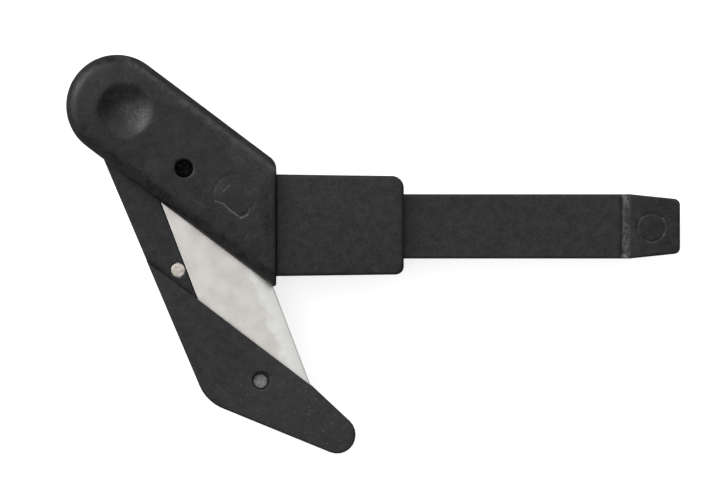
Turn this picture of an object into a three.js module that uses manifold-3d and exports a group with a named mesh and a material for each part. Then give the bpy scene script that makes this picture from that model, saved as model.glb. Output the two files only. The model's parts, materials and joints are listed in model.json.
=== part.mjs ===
// Swivel knife: a hooked cutting head that swivels on a clip-in shank.
// Millimetres, +Z up, lying on its rear cover as it would on a bench.
// While it is being built, x = y = 0 is the swivel axis and z = 0 the middle of the thickness.
// The last lines move the whole knife so that the origin is the bottom centre of its box.
import * as THREE from "three";
import { mergeVertices } from "three/addons/utils/BufferGeometryUtils.js";
import Module from "manifold-3d";

const wasm = await Module();
wasm.setup();

// ---------------------------------------------------------------- driving dimensions
const RUN = 0.06; // radial clearance of a pin in its bore
const SIDE_GAP = 0.3; // clearance between mouldings, seen from above

// Head: a flat bar with one round end, cut off square to the shank.
const HEAD_WIDTH = 14.6;
const HEAD_ANGLE = -36.9; // degrees; the bar's long edges run down to the right
const HEAD_HALF = 5; // half its thickness
const HEAD_FACE_X = 13.1; // the face that the shank leaves
const HEAD_END = { x: -9.65, y: 9.05 }; // centre of the round end
const HEAD_EDGE_ROUND = 1.9; // rounding of the grip edges
const HEAD_FACE_EASE = 0.6; // how far that rounding has begun where the shank face cuts it off
const HEAD_FACE_ROUND = 2; // plan radius between upper edge and shank face
const DIMPLE = { x: -8.45, y: 8.35, radius: 3.9, depth: 1.15 };

// Layers of the sandwich, measured from the middle.
const CARRIER_HALF = 0.8;
const BLADE_THICK = 0.6;
const BLADE_FLOOR = CARRIER_HALF - BLADE_THICK; // the blade lies flush with the carrier's front
const BLADE_FIT = 0.1; // clearance round the blade in its bed
const EAR_INNER = 1;
const EAR_OUTER = 2.3;
const WASHER_THICK = 0.25;
const WASHER_PLAY = 0.05; // free space on each side of a washer
const CAVITY_HALF = EAR_OUTER + WASHER_THICK + 2 * WASHER_PLAY; // the fork swings in this pocket
const WAVE_THICK = 0.2;
const WAVE_HEIGHT = 0.1; // half of the rise and fall of the wave washer
const SPRING_POCKET = CAVITY_HALF + WAVE_THICK + 2 * WAVE_HEIGHT + WASHER_PLAY;
const NOSE_HALF = 2.4;

// Pins: the swivel pin and the nose pin sit below the mouths of their holes.
const PIVOT_RADIUS = 1.08;
const BUSH_RADIUS = 1.6;
const BUSH_HALF = 0.95; // a little shorter than the gap between the fork's ears
const PIVOT_END = 3.9;
const HOLE_RADIUS = 1.34;
const HOLE_DEPTH = 1.4;
const NOSE_PIN = { x: 10.87, y: -30.47, radius: 0.98, end: 1.75 };
const NOSE_HOLE_RADIUS = 1.3;
const NOSE_HOLE_DEPTH = 0.9;
const BACK_PIN = { x: -0.95, y: -14.53, radius: 1 };

// Edges of the hook, each a point and a direction in degrees.
const SPINE_EDGE = { x: -7.99, y: -7.18, angle: -67 };
const MOUTH_EDGE = { x: 9.71, y: -24.66, angle: -37.2 };
const NOSE_FRONT = { x: 20.27, y: -33.05, angle: -43 };
const NOSE_UNDER = { x: 12.78, y: -37.33, angle: -22.2 };
const NOSE_TIP_RADIUS = 2.65;
const NOSE_HEEL_RADIUS = 6.1;
const NOSE_KINK_RADIUS = 8;
const NOSE_EDGE_ROUND = 0.35;

const SPINE_ROOT = 2.4; // how far the spine runs on inside the head

// Blade: a two-hole trapezoid, its cutting edge on the mouth's side.
const CUTTING_EDGE = { x: 15, y: -22.99, angle: -69.2 };
const BLADE_WIDTH = 10.75;
const BLADE_END_ANGLE = 69.2; // between the cutting edge and each end
const BLADE_LOWER_CORNER = 9.5; // from the cutting edge's driving point, along the edge
const BLADE_LENGTH = 40.2; // along the cutting edge
const BEVEL_WIDTH = 2.3;
const EDGE_THICK = 0.06;

// Shank: fork, shoulder block, then a springy tongue with a catch.
const SHANK_Y = -8.1;
const BLOCK_START_X = 13.4;
const BLOCK_END_X = 31.45;
const BLOCK_START_WIDTH = 14.6;
const BLOCK_END_WIDTH = 14.1;
const BLOCK_HALF = 3.2;
const BLOCK_CORNER = 1.5;
const EYE_RADIUS = 3.4;
const FORK_WALL = 1.8; // cover wall left between the fork and the head's lower edge
const FORK_STEP = 0.5; // the fork is this much narrower than the block at the top
const SWING = 45; // degrees that the head swings back from the shoulder
const OVERLAP = 1; // how far two shapes reach into each other where they become one solid
const TRIM = 0.02; // how far a trimming shape stands off the faces that it leaves alone
const TONGUE_WIDTH = 9.25;
const TONGUE_HALF = 1.5;
const TONGUE_ROOT = 1.2; // how deep the tongue reaches into its socket in the block
const NECK_STEP = 0.1; // the root in the socket is this much slimmer on every side
const TONGUE_Y = -8.25;
const CATCH_START_X = 62.9;
const CATCH_TOP_X = 63.75;
const CATCH_FLAT = 1.5; // level part of the catch before its lead-in
const TONGUE_END_X = 71.05;
const TONGUE_END_WIDTH = 7.75;
const TONGUE_CORNER = 0.9;
const CATCH_TOP = 3;
const CATCH_END_TOP = 2.3; // the catch falls away towards the tip as a lead-in

// Two hidden pins through the carrier hold the covers together.
const COVER_PINS = { cover_pin_end: { x: -10.6, y: 9.8 }, cover_pin_middle: { x: -3.9, y: 5.2 } };
const COVER_PIN_RADIUS = 1;
const COVER_PIN_HALF = 2.6;

const ROUND_STEPS = 24; // facets round a pin or hole
const ARC_STEPS = 7; // facets round a corner
const GRIP_RIM_STEPS = 4; // facets across the rounding of a cover
const NOSE_RIM_STEPS = 2;
const DIMPLE_STEPS = { round: 28, down: 24 };
const REACH = 60; // longer than anything that a cutting prism has to pass

// ---------------------------------------------------------------- materials
const moulded = (color, roughness) => new THREE.MeshStandardMaterial({ color, roughness, metalness: 0 });
const metal = (color, roughness) => new THREE.MeshStandardMaterial({ color, roughness, metalness: 1 });
const GRIP_NYLON = moulded(0x2b2b2d, 0.5);
const FRAME_NYLON = moulded(0x262a2d, 0.6);
const BLADE_STEEL = metal(0xc9c5c0, 0.35);
const PIN_STEEL = metal(0xb9b5b0, 0.4);
const BLACK_STEEL = metal(0x161616, 0.5);
const SPRING_STEEL = metal(0x8d8f92, 0.35);

// ---------------------------------------------------------------- plane geometry
const rad = THREE.MathUtils.degToRad;
const direction = (degrees) => new THREE.Vector2(Math.cos(rad(degrees)), Math.sin(rad(degrees)));
const leftOf = (v) => new THREE.Vector2(-v.y, v.x);
const at = (p) => new THREE.Vector2(p.x, p.y);

// A line moved sideways; a positive distance is to the left of its direction.
function shifted(line, distance) {
  const p = at(line).addScaledVector(leftOf(direction(line.angle)), distance);
  return { x: p.x, y: p.y, angle: line.angle };
}

// Where two lines cross.
function meet(a, b) {
  const da = direction(a.angle);
  const db = direction(b.angle);
  const t = at(b).sub(at(a)).cross(db) / da.cross(db);
  return at(a).addScaledVector(da, t);
}

// Draws an outline's corner, rounded to a radius, between the points before and after it.
function drawCorner(shape, before, p, after, r) {
  if (!r) {
    shape.lineTo(p.x, p.y);
    return;
  }
  const inward = before.clone().sub(p).normalize();
  const outward = after.clone().sub(p).normalize();
  const half = Math.acos(THREE.MathUtils.clamp(inward.dot(outward), -1, 1)) / 2;
  const start = p.clone().addScaledVector(inward, r / Math.tan(half));
  const end = p.clone().addScaledVector(outward, r / Math.tan(half));
  const centre = p.clone().addScaledVector(inward.clone().add(outward).normalize(), r / Math.sin(half));
  const turn = start.clone().sub(centre).cross(end.clone().sub(centre));
  shape.lineTo(start.x, start.y);
  shape.absarc(centre.x, centre.y, r, start.sub(centre).angle(), end.sub(centre).angle(), turn < 0);
}

// A closed shape from corners in order, each rounded to its own radius; the first one stays sharp.
function rounded(corners) {
  const shape = new THREE.Shape();
  shape.moveTo(corners[0].p.x, corners[0].p.y);
  for (let i = 1; i < corners.length; i++) {
    drawCorner(shape, corners[i - 1].p, corners[i].p, corners[(i + 1) % corners.length].p, corners[i].r);
  }
  shape.closePath();
  return shape;
}

const polygon = (points) => rounded(points.map((p) => ({ p: at(p), r: 0 })));

const EVERYWHERE = polygon([
  { x: -REACH, y: -REACH },
  { x: REACH, y: -REACH },
  { x: REACH, y: REACH },
  { x: -REACH, y: REACH },
]);

function disc(x, y, radius) {
  const shape = new THREE.Shape();
  shape.absarc(x, y, radius, 0, 2 * Math.PI, false);
  return shape;
}

// ---------------------------------------------------------------- solids
// A closed three.js geometry as a manifold-3d solid.
function solid(geometry) {
  const bare = geometry.index ? geometry.toNonIndexed() : geometry.clone();
  bare.deleteAttribute("normal");
  bare.deleteAttribute("uv");
  const merged = mergeVertices(bare, 1e-4);
  return new wasm.Manifold(
    new wasm.Mesh({
      numProp: 3,
      vertProperties: merged.attributes.position.array,
      triVerts: new Uint32Array(merged.index.array),
    }),
  );
}

function prism(shape, low, high, curveSegments = ARC_STEPS) {
  const geometry = new THREE.ExtrudeGeometry(shape, { depth: high - low, bevelEnabled: false, curveSegments });
  return solid(geometry.translate(0, 0, low));
}

// A plate with both rims rounded. The shape is the plate's outline less the rounding.
function roundedPlate(shape, low, high, round, steps) {
  const geometry = new THREE.ExtrudeGeometry(shape, {
    depth: high - low - 2 * round,
    bevelThickness: round,
    bevelSize: round,
    bevelSegments: steps,
    curveSegments: ARC_STEPS,
  });
  return solid(geometry.translate(0, 0, low + round));
}

const pin = (x, y, radius, low, high) => prism(disc(x, y, radius), low, high, ROUND_STEPS);

function node(name, made, material) {
  const { vertProperties, triVerts } = made.getMesh();
  const geometry = new THREE.BufferGeometry();
  geometry.setAttribute("position", new THREE.BufferAttribute(vertProperties, 3));
  geometry.setIndex(new THREE.BufferAttribute(triVerts, 1));
  geometry.computeVertexNormals();
  const mesh = new THREE.Mesh(geometry, material);
  mesh.name = name;
  return mesh;
}

// ---------------------------------------------------------------- outlines
// The head's long axis, and its lower edge, which the spine and the fork are placed from.
const HEAD_AXIS = { ...HEAD_END, angle: HEAD_ANGLE };
const HEAD_LOWER = shifted(HEAD_AXIS, -HEAD_WIDTH / 2);

const BACK_EDGE = shifted(CUTTING_EDGE, -BLADE_WIDTH);

// The head's bar, with every edge moved in by inset and its shank face at faceX.
function headOutline(inset, faceX, faceRound = Math.max(HEAD_FACE_ROUND - inset, 0)) {
  const half = HEAD_WIDTH / 2 - inset;
  const face = { x: faceX, y: 0, angle: 90 };
  const low = meet(shifted(HEAD_AXIS, -half), face);
  const high = meet(shifted(HEAD_AXIS, half), face);
  const shape = new THREE.Shape();
  const across = rad(HEAD_ANGLE + 90);
  shape.absarc(HEAD_END.x, HEAD_END.y, half, across, across + Math.PI, false);
  shape.lineTo(low.x, low.y);
  drawCorner(shape, low, high, at(shifted(HEAD_AXIS, half)), faceRound);
  shape.closePath();
  return shape;
}

// The nose: below the mouth edge, right of the spine edge.
function noseOutline(inset) {
  const spine = shifted(SPINE_EDGE, inset);
  const mouth = shifted(MOUTH_EDGE, -inset);
  const front = shifted(NOSE_FRONT, -inset);
  const under = shifted(NOSE_UNDER, inset);
  return rounded([
    { p: meet(spine, mouth), r: 0 },
    { p: meet(spine, under), r: NOSE_HEEL_RADIUS - inset },
    { p: meet(under, front), r: NOSE_TIP_RADIUS - inset },
    { p: meet(front, mouth), r: NOSE_KINK_RADIUS },
  ]);
}

// Where the carrier's spine passes through the covers' lower wall.
function spineOutline(clearance) {
  const left = shifted(SPINE_EDGE, -clearance);
  const right = shifted(BACK_EDGE, clearance);
  const top = shifted(HEAD_LOWER, SPINE_ROOT);
  const bottom = shifted(HEAD_LOWER, -OVERLAP);
  return polygon([meet(left, top), meet(left, bottom), meet(right, bottom), meet(right, top)]);
}

// The nose and the spine in one outline, as far up as a line across the spine.
function hookOutline(inset, top) {
  const spine = shifted(SPINE_EDGE, inset);
  const mouth = shifted(MOUTH_EDGE, -inset);
  const front = shifted(NOSE_FRONT, -inset);
  const under = shifted(NOSE_UNDER, inset);
  const back = shifted(BACK_EDGE, -inset);
  const head = shifted(top, -inset);
  return rounded([
    { p: meet(spine, head), r: 0 },
    { p: meet(spine, under), r: NOSE_HEEL_RADIUS - inset },
    { p: meet(under, front), r: NOSE_TIP_RADIUS - inset },
    { p: meet(front, mouth), r: NOSE_KINK_RADIUS },
    { p: meet(mouth, back), r: 0 },
    { p: meet(back, head), r: 0 },
  ]);
}

// The blade's trapezoid, grown by a clearance along its sides and another at its ends.
function bladeOutline(clearance, endClearance = clearance) {
  const edge = shifted(CUTTING_EDGE, clearance);
  const back = shifted(BACK_EDGE, -clearance);
  const along = direction(CUTTING_EDGE.angle);
  const end = (distance, angle, sign) => {
    const p = at(CUTTING_EDGE).addScaledVector(along, distance + sign * endClearance);
    return { x: p.x, y: p.y, angle };
  };
  const lower = end(BLADE_LOWER_CORNER, CUTTING_EDGE.angle - 180 + BLADE_END_ANGLE, 1);
  const upper = end(BLADE_LOWER_CORNER - BLADE_LENGTH, CUTTING_EDGE.angle - BLADE_END_ANGLE, -1);
  return polygon([meet(edge, lower), meet(edge, upper), meet(back, upper), meet(back, lower)]);
}

// The direction of a line that touches the swivel eye and passes through a corner.
// The side is 1 for the eye's upper side and -1 for its lower side.
function tangentAngle(corner, side) {
  const lean = Math.asin(EYE_RADIUS / at(corner).length());
  return THREE.MathUtils.radToDeg(at(corner).angle() - side * lean);
}

// The fork spreads from the eye to the shoulder block's corner above and the cover's wall below.
const SHOULDER = { x: BLOCK_START_X, y: 0, angle: 90 };
const FORK_TOP = { x: BLOCK_START_X, y: SHANK_Y + BLOCK_START_WIDTH / 2 - FORK_STEP };
const FORK_BOTTOM = meet(shifted(HEAD_LOWER, FORK_WALL + SIDE_GAP), SHOULDER);
const FORK_TOP_ANGLE = tangentAngle(FORK_TOP, 1);
const FORK_BOTTOM_ANGLE = tangentAngle(FORK_BOTTOM, -1);

// An arc round the swivel axis, then straight on through the corners beyond it.
function armOutline(radius, topAngle, bottomAngle, corners) {
  const top = leftOf(direction(topAngle)).multiplyScalar(radius);
  const bottom = leftOf(direction(bottomAngle)).multiplyScalar(-radius);
  const shape = new THREE.Shape();
  shape.moveTo(top.x, top.y);
  shape.absarc(0, 0, radius, top.angle(), bottom.angle(), false);
  for (const p of corners) shape.lineTo(p.x, p.y);
  shape.closePath();
  return shape;
}

function forkOutline() {
  const inBlock = BLOCK_START_X + OVERLAP;
  return armOutline(EYE_RADIUS, FORK_TOP_ANGLE, FORK_BOTTOM_ANGLE, [
    FORK_BOTTOM,
    { x: inBlock, y: FORK_BOTTOM.y },
    { x: inBlock, y: FORK_TOP.y },
    FORK_TOP,
  ]);
}

// The pocket that the fork swings in: open at the shank face and along the upper edge.
function swingOutline() {
  const radius = EYE_RADIUS + SIDE_GAP;
  const topAngle = FORK_TOP_ANGLE + SWING;
  const top = leftOf(direction(topAngle)).multiplyScalar(radius);
  const bottom = leftOf(direction(FORK_BOTTOM_ANGLE)).multiplyScalar(-radius);
  return armOutline(radius, topAngle, FORK_BOTTOM_ANGLE, [
    bottom.addScaledVector(direction(FORK_BOTTOM_ANGLE), REACH),
    top.addScaledVector(direction(topAngle), REACH),
  ]);
}

// ---------------------------------------------------------------- cutting head
// The carrier's root fills the head, kept inside the covers' walls.
function carrierRootOutline(inset) {
  return headOutline(FORK_WALL - SIDE_GAP + inset, HEAD_FACE_X - FORK_WALL + SIDE_GAP - inset);
}

// What both covers share, built as the front one: half a bar, the dimple, then every pocket.
function cover() {
  const bar = roundedPlate(
    headOutline(HEAD_EDGE_ROUND, HEAD_FACE_X - HEAD_FACE_EASE),
    -HEAD_HALF,
    HEAD_HALF,
    HEAD_EDGE_ROUND,
    GRIP_RIM_STEPS,
  );
  const frontHalf = prism(headOutline(-TRIM, HEAD_FACE_X, HEAD_FACE_ROUND), 0, HEAD_HALF + 1);
  const ball = (DIMPLE.radius ** 2 + DIMPLE.depth ** 2) / (2 * DIMPLE.depth);
  const sphere = new THREE.SphereGeometry(ball, DIMPLE_STEPS.round, DIMPLE_STEPS.down).rotateX(Math.PI / 2);
  const dimple = solid(sphere.translate(DIMPLE.x, DIMPLE.y, HEAD_HALF - DIMPLE.depth + ball));
  let made = bar
    .intersect(frontHalf)
    .subtract(dimple)
    .subtract(prism(carrierRootOutline(0), -1, CARRIER_HALF))
    .subtract(prism(spineOutline(SIDE_GAP), -1, CARRIER_HALF))
    .subtract(prism(swingOutline(), -1, CAVITY_HALF))
    .subtract(pin(0, 0, PIVOT_RADIUS + RUN, -1, HEAD_HALF + 1))
    .subtract(pin(0, 0, HOLE_RADIUS, HEAD_HALF - HOLE_DEPTH, HEAD_HALF + 1));
  for (const { x, y } of Object.values(COVER_PINS)) {
    made = made.subtract(pin(x, y, COVER_PIN_RADIUS + RUN, -1, COVER_PIN_HALF + RUN));
  }
  return made;
}

// Only the front cover has to clear the blade.
const frontCover = () => cover().subtract(prism(bladeOutline(SIDE_GAP), -1, CARRIER_HALF));

// The rear cover is the mirror image, with a deeper pocket for the wave washer.
function rearCover() {
  return cover()
    .subtract(pin(0, 0, EYE_RADIUS, -1, SPRING_POCKET))
    .scale([1, 1, -1]);
}

function bladeCarrier() {
  let made = prism(carrierRootOutline(SIDE_GAP), -CARRIER_HALF, CARRIER_HALF)
    .add(prism(hookOutline(0, shifted(HEAD_LOWER, SPINE_ROOT)), -CARRIER_HALF, CARRIER_HALF))
    .subtract(prism(bladeOutline(BLADE_FIT), BLADE_FLOOR, CARRIER_HALF + 1))
    .subtract(pin(0, 0, BUSH_RADIUS + RUN, -REACH, REACH))
    .subtract(pin(NOSE_PIN.x, NOSE_PIN.y, NOSE_PIN.radius + RUN, -REACH, REACH))
    .subtract(pin(BACK_PIN.x, BACK_PIN.y, BACK_PIN.radius + RUN, -REACH, REACH));
  for (const { x, y } of Object.values(COVER_PINS)) {
    made = made.subtract(pin(x, y, COVER_PIN_RADIUS + RUN, -REACH, REACH));
  }
  return made;
}

// A plate that closes the sandwich over the carrier; its outer rim is rounded.
function hookPlate(outline) {
  const plate = roundedPlate(outline(NOSE_EDGE_ROUND), -NOSE_HALF, NOSE_HALF, NOSE_EDGE_ROUND, NOSE_RIM_STEPS);
  return plate
    .intersect(prism(EVERYWHERE, CARRIER_HALF, NOSE_HALF + 1))
    .subtract(pin(NOSE_PIN.x, NOSE_PIN.y, NOSE_PIN.radius + RUN, -REACH, REACH))
    .subtract(pin(NOSE_PIN.x, NOSE_PIN.y, NOSE_HOLE_RADIUS, NOSE_HALF - NOSE_HOLE_DEPTH, REACH));
}

// The rear plate goes on up the spine, and the pin behind the blade stands in it.
function rearHookPlate() {
  return hookPlate((inset) => hookOutline(inset, shifted(HEAD_LOWER, -SIDE_GAP)))
    .scale([1, 1, -1])
    .subtract(pin(BACK_PIN.x, BACK_PIN.y, BACK_PIN.radius + RUN, -REACH, REACH));
}

// The blade's section is drawn across its width, swept along the edge and trimmed to the trapezoid.
function blade() {
  const half = BLADE_THICK / 2;
  const section = new THREE.Shape([
    new THREE.Vector2(0, -EDGE_THICK / 2),
    new THREE.Vector2(0, EDGE_THICK / 2),
    new THREE.Vector2(-BEVEL_WIDTH, half),
    new THREE.Vector2(-BLADE_WIDTH, half),
    new THREE.Vector2(-BLADE_WIDTH, -half),
    new THREE.Vector2(-BEVEL_WIDTH, -half),
  ]);
  const bar = new THREE.ExtrudeGeometry(section, { depth: 2 * REACH, bevelEnabled: false })
    .translate(0, 0, -REACH)
    .rotateX(Math.PI / 2)
    .rotateZ(rad(CUTTING_EDGE.angle + 90))
    .translate(CUTTING_EDGE.x, CUTTING_EDGE.y, BLADE_FLOOR + half);
  return solid(bar)
    .intersect(prism(bladeOutline(1, 0), -1, 2))
    .subtract(pin(0, 0, BUSH_RADIUS + RUN, -REACH, REACH))
    .subtract(pin(NOSE_PIN.x, NOSE_PIN.y, NOSE_PIN.radius + RUN, -REACH, REACH));
}

// ---------------------------------------------------------------- swivel hardware
// A ring round the swivel pin as a turned section; a wave lifts and drops it three times round.
function ring(inner, outer, low, high, wave = 0) {
  const section = [
    new THREE.Vector2(inner, low),
    new THREE.Vector2(outer, low),
    new THREE.Vector2(outer, high),
    new THREE.Vector2(inner, high),
    new THREE.Vector2(inner, low),
  ];
  const geometry = new THREE.LatheGeometry(section, ROUND_STEPS).rotateX(Math.PI / 2);
  const place = geometry.attributes.position;
  for (let i = 0; i < place.count; i++) {
    const round = Math.atan2(place.getY(i), place.getX(i));
    place.setZ(i, place.getZ(i) + wave * Math.cos(3 * round));
  }
  return solid(geometry);
}

const bush = () => ring(PIVOT_RADIUS + RUN, BUSH_RADIUS, -BUSH_HALF, BUSH_HALF);

function thrustWasher() {
  const low = EAR_OUTER + WASHER_PLAY;
  return ring(PIVOT_RADIUS + RUN, EYE_RADIUS - SIDE_GAP, low, low + WASHER_THICK);
}

function waveWasher() {
  const high = -CAVITY_HALF - WAVE_HEIGHT;
  return ring(PIVOT_RADIUS + 2 * RUN, EYE_RADIUS - SIDE_GAP, high - WAVE_THICK, high, WAVE_HEIGHT);
}

const through = ({ x, y, radius }, low, high) => pin(x, y, radius, low, high);

// ---------------------------------------------------------------- shank
// The forked eye and the shoulder block are one moulding, with a socket for the tongue's root.
function swivelShank() {
  const edge = (x, half) => ({ x, y: SHANK_Y + half });
  const block = rounded([
    { p: at(edge(BLOCK_START_X, BLOCK_START_WIDTH / 2)), r: 0 },
    { p: at(edge(BLOCK_START_X, -BLOCK_START_WIDTH / 2)), r: 0 },
    { p: at(edge(BLOCK_END_X, -BLOCK_END_WIDTH / 2)), r: BLOCK_CORNER },
    { p: at(edge(BLOCK_END_X, BLOCK_END_WIDTH / 2)), r: BLOCK_CORNER },
  ]);
  const socketStart = BLOCK_END_X - TONGUE_ROOT - SIDE_GAP;
  const socketHalf = TONGUE_WIDTH / 2 + SIDE_GAP;
  const socket = polygon([
    { x: socketStart, y: TONGUE_Y - socketHalf },
    { x: REACH, y: TONGUE_Y - socketHalf },
    { x: REACH, y: TONGUE_Y + socketHalf },
    { x: socketStart, y: TONGUE_Y + socketHalf },
  ]);
  return prism(forkOutline(), -EAR_OUTER, EAR_OUTER)
    .subtract(prism(EVERYWHERE, -EAR_INNER, EAR_INNER))
    .subtract(pin(0, 0, PIVOT_RADIUS + RUN, -REACH, REACH))
    .add(prism(block, -BLOCK_HALF, BLOCK_HALF))
    .subtract(prism(socket, -TONGUE_HALF - SIDE_GAP, TONGUE_HALF + SIDE_GAP));
}

// What is cut away round the tongue's root, as far out as its shoulder.
function neckCollar() {
  const bar = (start, end, half) =>
    polygon([
      { x: start, y: TONGUE_Y - half },
      { x: end, y: TONGUE_Y - half },
      { x: end, y: TONGUE_Y + half },
      { x: start, y: TONGUE_Y + half },
    ]);
  const shoulder = BLOCK_END_X + SIDE_GAP;
  const half = TONGUE_HALF - NECK_STEP;
  return prism(bar(0, shoulder, TONGUE_WIDTH), -REACH, REACH).subtract(
    prism(bar(-OVERLAP, shoulder + OVERLAP, TONGUE_WIDTH / 2 - NECK_STEP), -half, half),
  );
}

// The tongue's side view is swept across its width, then trimmed to its tapered plan and neck.
function latchTongue() {
  const root = BLOCK_END_X - TONGUE_ROOT;
  const side = new THREE.Shape([
    new THREE.Vector2(root, -TONGUE_HALF),
    new THREE.Vector2(TONGUE_END_X + OVERLAP, -TONGUE_HALF),
    new THREE.Vector2(TONGUE_END_X + OVERLAP, CATCH_END_TOP),
    new THREE.Vector2(CATCH_TOP_X + CATCH_FLAT, CATCH_TOP),
    new THREE.Vector2(CATCH_TOP_X, CATCH_TOP),
    new THREE.Vector2(CATCH_START_X, TONGUE_HALF),
    new THREE.Vector2(root, TONGUE_HALF),
  ]);
  const swept = new THREE.ExtrudeGeometry(side, { depth: 2 * REACH, bevelEnabled: false })
    .translate(0, 0, -REACH)
    .rotateX(Math.PI / 2);
  const corner = (x, half, r) => ({ p: at({ x, y: TONGUE_Y + half }), r });
  const plan = rounded([
    corner(root - OVERLAP, TONGUE_WIDTH / 2, 0),
    corner(root - OVERLAP, -TONGUE_WIDTH / 2, 0),
    corner(CATCH_TOP_X, -TONGUE_WIDTH / 2, 0),
    corner(TONGUE_END_X, -TONGUE_END_WIDTH / 2, TONGUE_CORNER),
    corner(TONGUE_END_X, TONGUE_END_WIDTH / 2, TONGUE_CORNER),
    corner(CATCH_TOP_X, TONGUE_WIDTH / 2, 0),
  ]);
  return solid(swept).intersect(prism(plan, -REACH, REACH)).subtract(neckCollar());
}

// ---------------------------------------------------------------- assembly
const head = new THREE.Group();
head.add(
  node("front_cover", frontCover(), GRIP_NYLON),
  node("rear_cover", rearCover(), GRIP_NYLON),
  node("blade_carrier", bladeCarrier(), FRAME_NYLON),
  node("front_nose_plate", hookPlate(noseOutline), FRAME_NYLON),
  node("rear_hook_plate", rearHookPlate(), FRAME_NYLON),
  node("blade", blade(), BLADE_STEEL),
  node("nose_pin", through(NOSE_PIN, -NOSE_PIN.end, NOSE_PIN.end), PIN_STEEL),
  node("blade_back_pin", through(BACK_PIN, -NOSE_HALF, CARRIER_HALF), PIN_STEEL),
  node("pivot_pin", pin(0, 0, PIVOT_RADIUS, -PIVOT_END, PIVOT_END), BLACK_STEEL),
  node("pivot_bush", bush(), PIN_STEEL),
  node("front_thrust_washer", thrustWasher(), SPRING_STEEL),
  node("rear_thrust_washer", thrustWasher().scale([1, 1, -1]), SPRING_STEEL),
  node("wave_washer", waveWasher(), SPRING_STEEL),
);
for (const [name, { x, y }] of Object.entries(COVER_PINS)) {
  head.add(node(name, pin(x, y, COVER_PIN_RADIUS, -COVER_PIN_HALF, COVER_PIN_HALF), PIN_STEEL));
}

const shank = new THREE.Group();
shank.add(node("swivel_shank", swivelShank(), FRAME_NYLON), node("latch_tongue", latchTongue(), FRAME_NYLON));

const knife = new THREE.Group();
knife.add(head, shank);

// Origin: bottom centre of the knife's box.
const box = new THREE.Box3().setFromObject(knife, true);
knife.position.set(-(box.min.x + box.max.x) / 2, -(box.min.y + box.max.y) / 2, -box.min.z);

export default knife;
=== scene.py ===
# %% [markdown]
# # A swivel knife head on its clip-in shank
# The real tool is a hooked plastic head that holds a small trapezoid blade. The head turns on a pin
# through the forked end of a flat plastic shank, and the shank's springy tongue snaps into a handle.
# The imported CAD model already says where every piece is, so this lesson only makes the fine surfaces.
# The whole scene is in metres. Shapes are drawn in millimetres from the swivel axis, because that is
# how the tool would be dimensioned on a drawing, and each finished mesh is then put in its place.

# %% Load the frame
import json
import math
import bpy
from mathutils import Matrix, Vector
from mathutils.geometry import delaunay_2d_cdt


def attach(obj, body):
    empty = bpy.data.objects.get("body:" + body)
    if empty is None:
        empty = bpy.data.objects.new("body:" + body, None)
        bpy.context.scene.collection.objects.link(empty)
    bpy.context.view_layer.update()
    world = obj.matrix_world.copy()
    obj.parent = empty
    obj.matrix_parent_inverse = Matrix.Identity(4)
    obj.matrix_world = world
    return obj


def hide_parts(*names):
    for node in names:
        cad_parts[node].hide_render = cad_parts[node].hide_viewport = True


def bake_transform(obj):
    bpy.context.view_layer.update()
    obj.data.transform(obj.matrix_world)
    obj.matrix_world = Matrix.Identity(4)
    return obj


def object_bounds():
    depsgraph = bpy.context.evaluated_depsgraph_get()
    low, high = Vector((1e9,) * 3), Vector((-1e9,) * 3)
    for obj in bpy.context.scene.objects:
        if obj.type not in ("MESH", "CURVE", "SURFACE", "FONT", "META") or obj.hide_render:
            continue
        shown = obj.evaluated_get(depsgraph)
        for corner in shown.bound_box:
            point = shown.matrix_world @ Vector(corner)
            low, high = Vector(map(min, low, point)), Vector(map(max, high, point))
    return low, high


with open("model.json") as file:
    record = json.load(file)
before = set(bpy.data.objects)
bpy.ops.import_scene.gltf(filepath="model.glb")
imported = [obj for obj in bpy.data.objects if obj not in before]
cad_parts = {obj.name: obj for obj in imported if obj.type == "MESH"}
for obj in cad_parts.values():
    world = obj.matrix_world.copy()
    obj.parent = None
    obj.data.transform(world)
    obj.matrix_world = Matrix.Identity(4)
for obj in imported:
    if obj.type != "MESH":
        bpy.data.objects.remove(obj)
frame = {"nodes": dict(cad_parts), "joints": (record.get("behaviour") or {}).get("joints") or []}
cad_low, cad_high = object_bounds()
joints = {joint["name"]: joint for joint in frame["joints"]}
pivot = Vector(joints["head_swivel"]["pos_m"])
print("box of the frame in mm:", [round(1000 * v, 2) for v in cad_high - cad_low])

# %% [markdown]
# ## Sizes that the pieces share
# A moulder's drawing gives each edge as a straight line with a direction, and the corners follow from
# where the lines cross. The same is done here: a line is a point and an angle in degrees. Heights are
# counted from the middle of the tool's thickness, where the two covers meet.

# %% Driving dimensions
MM = 0.001
SIDE_GAP = 0.3
RUN = 0.06
HEAD_WIDTH = 14.6
HEAD_HALF = 5.0
HEAD_FACE_X = 13.1
HEAD_EDGE_ROUND = 1.9
HEAD_FACE_EASE = 0.6
HEAD_FACE_ROUND = 2.0
HEAD_TIP_ROUND = 0.3
CARRIER_HALF = 0.8
BLADE_FLOOR = 0.2
NOSE_HALF = 2.4
FORK_WALL = 1.8

HEAD_END = Vector((-9.65, 9.05))
HEAD_AXIS = (HEAD_END, -36.9)
SPINE_EDGE = (Vector((-7.99, -7.18)), -67)
MOUTH_EDGE = (Vector((9.71, -24.66)), -37.2)
NOSE_FRONT = (Vector((20.27, -33.05)), -43)
NOSE_UNDER = (Vector((12.78, -37.33)), -22.2)
CUTTING_EDGE = (Vector((15, -22.99)), -69.2)
BLADE_WIDTH = 10.75
NOSE_PIN = Vector((10.87, -30.47))
BACK_PIN = Vector((-0.95, -14.53))
COVER_PINS = (Vector((-10.6, 9.8)), Vector((-3.9, 5.2)))

# %% [markdown]
# ## Drawing outlines
# An outline could be typed as a list of points, but then no one could see why a point is where it is.
# Lines that are shifted sideways and crossed with each other keep the reason in the code, and every
# corner gets its own radius, sampled finely enough that the rim stays round in a close view.

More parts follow.
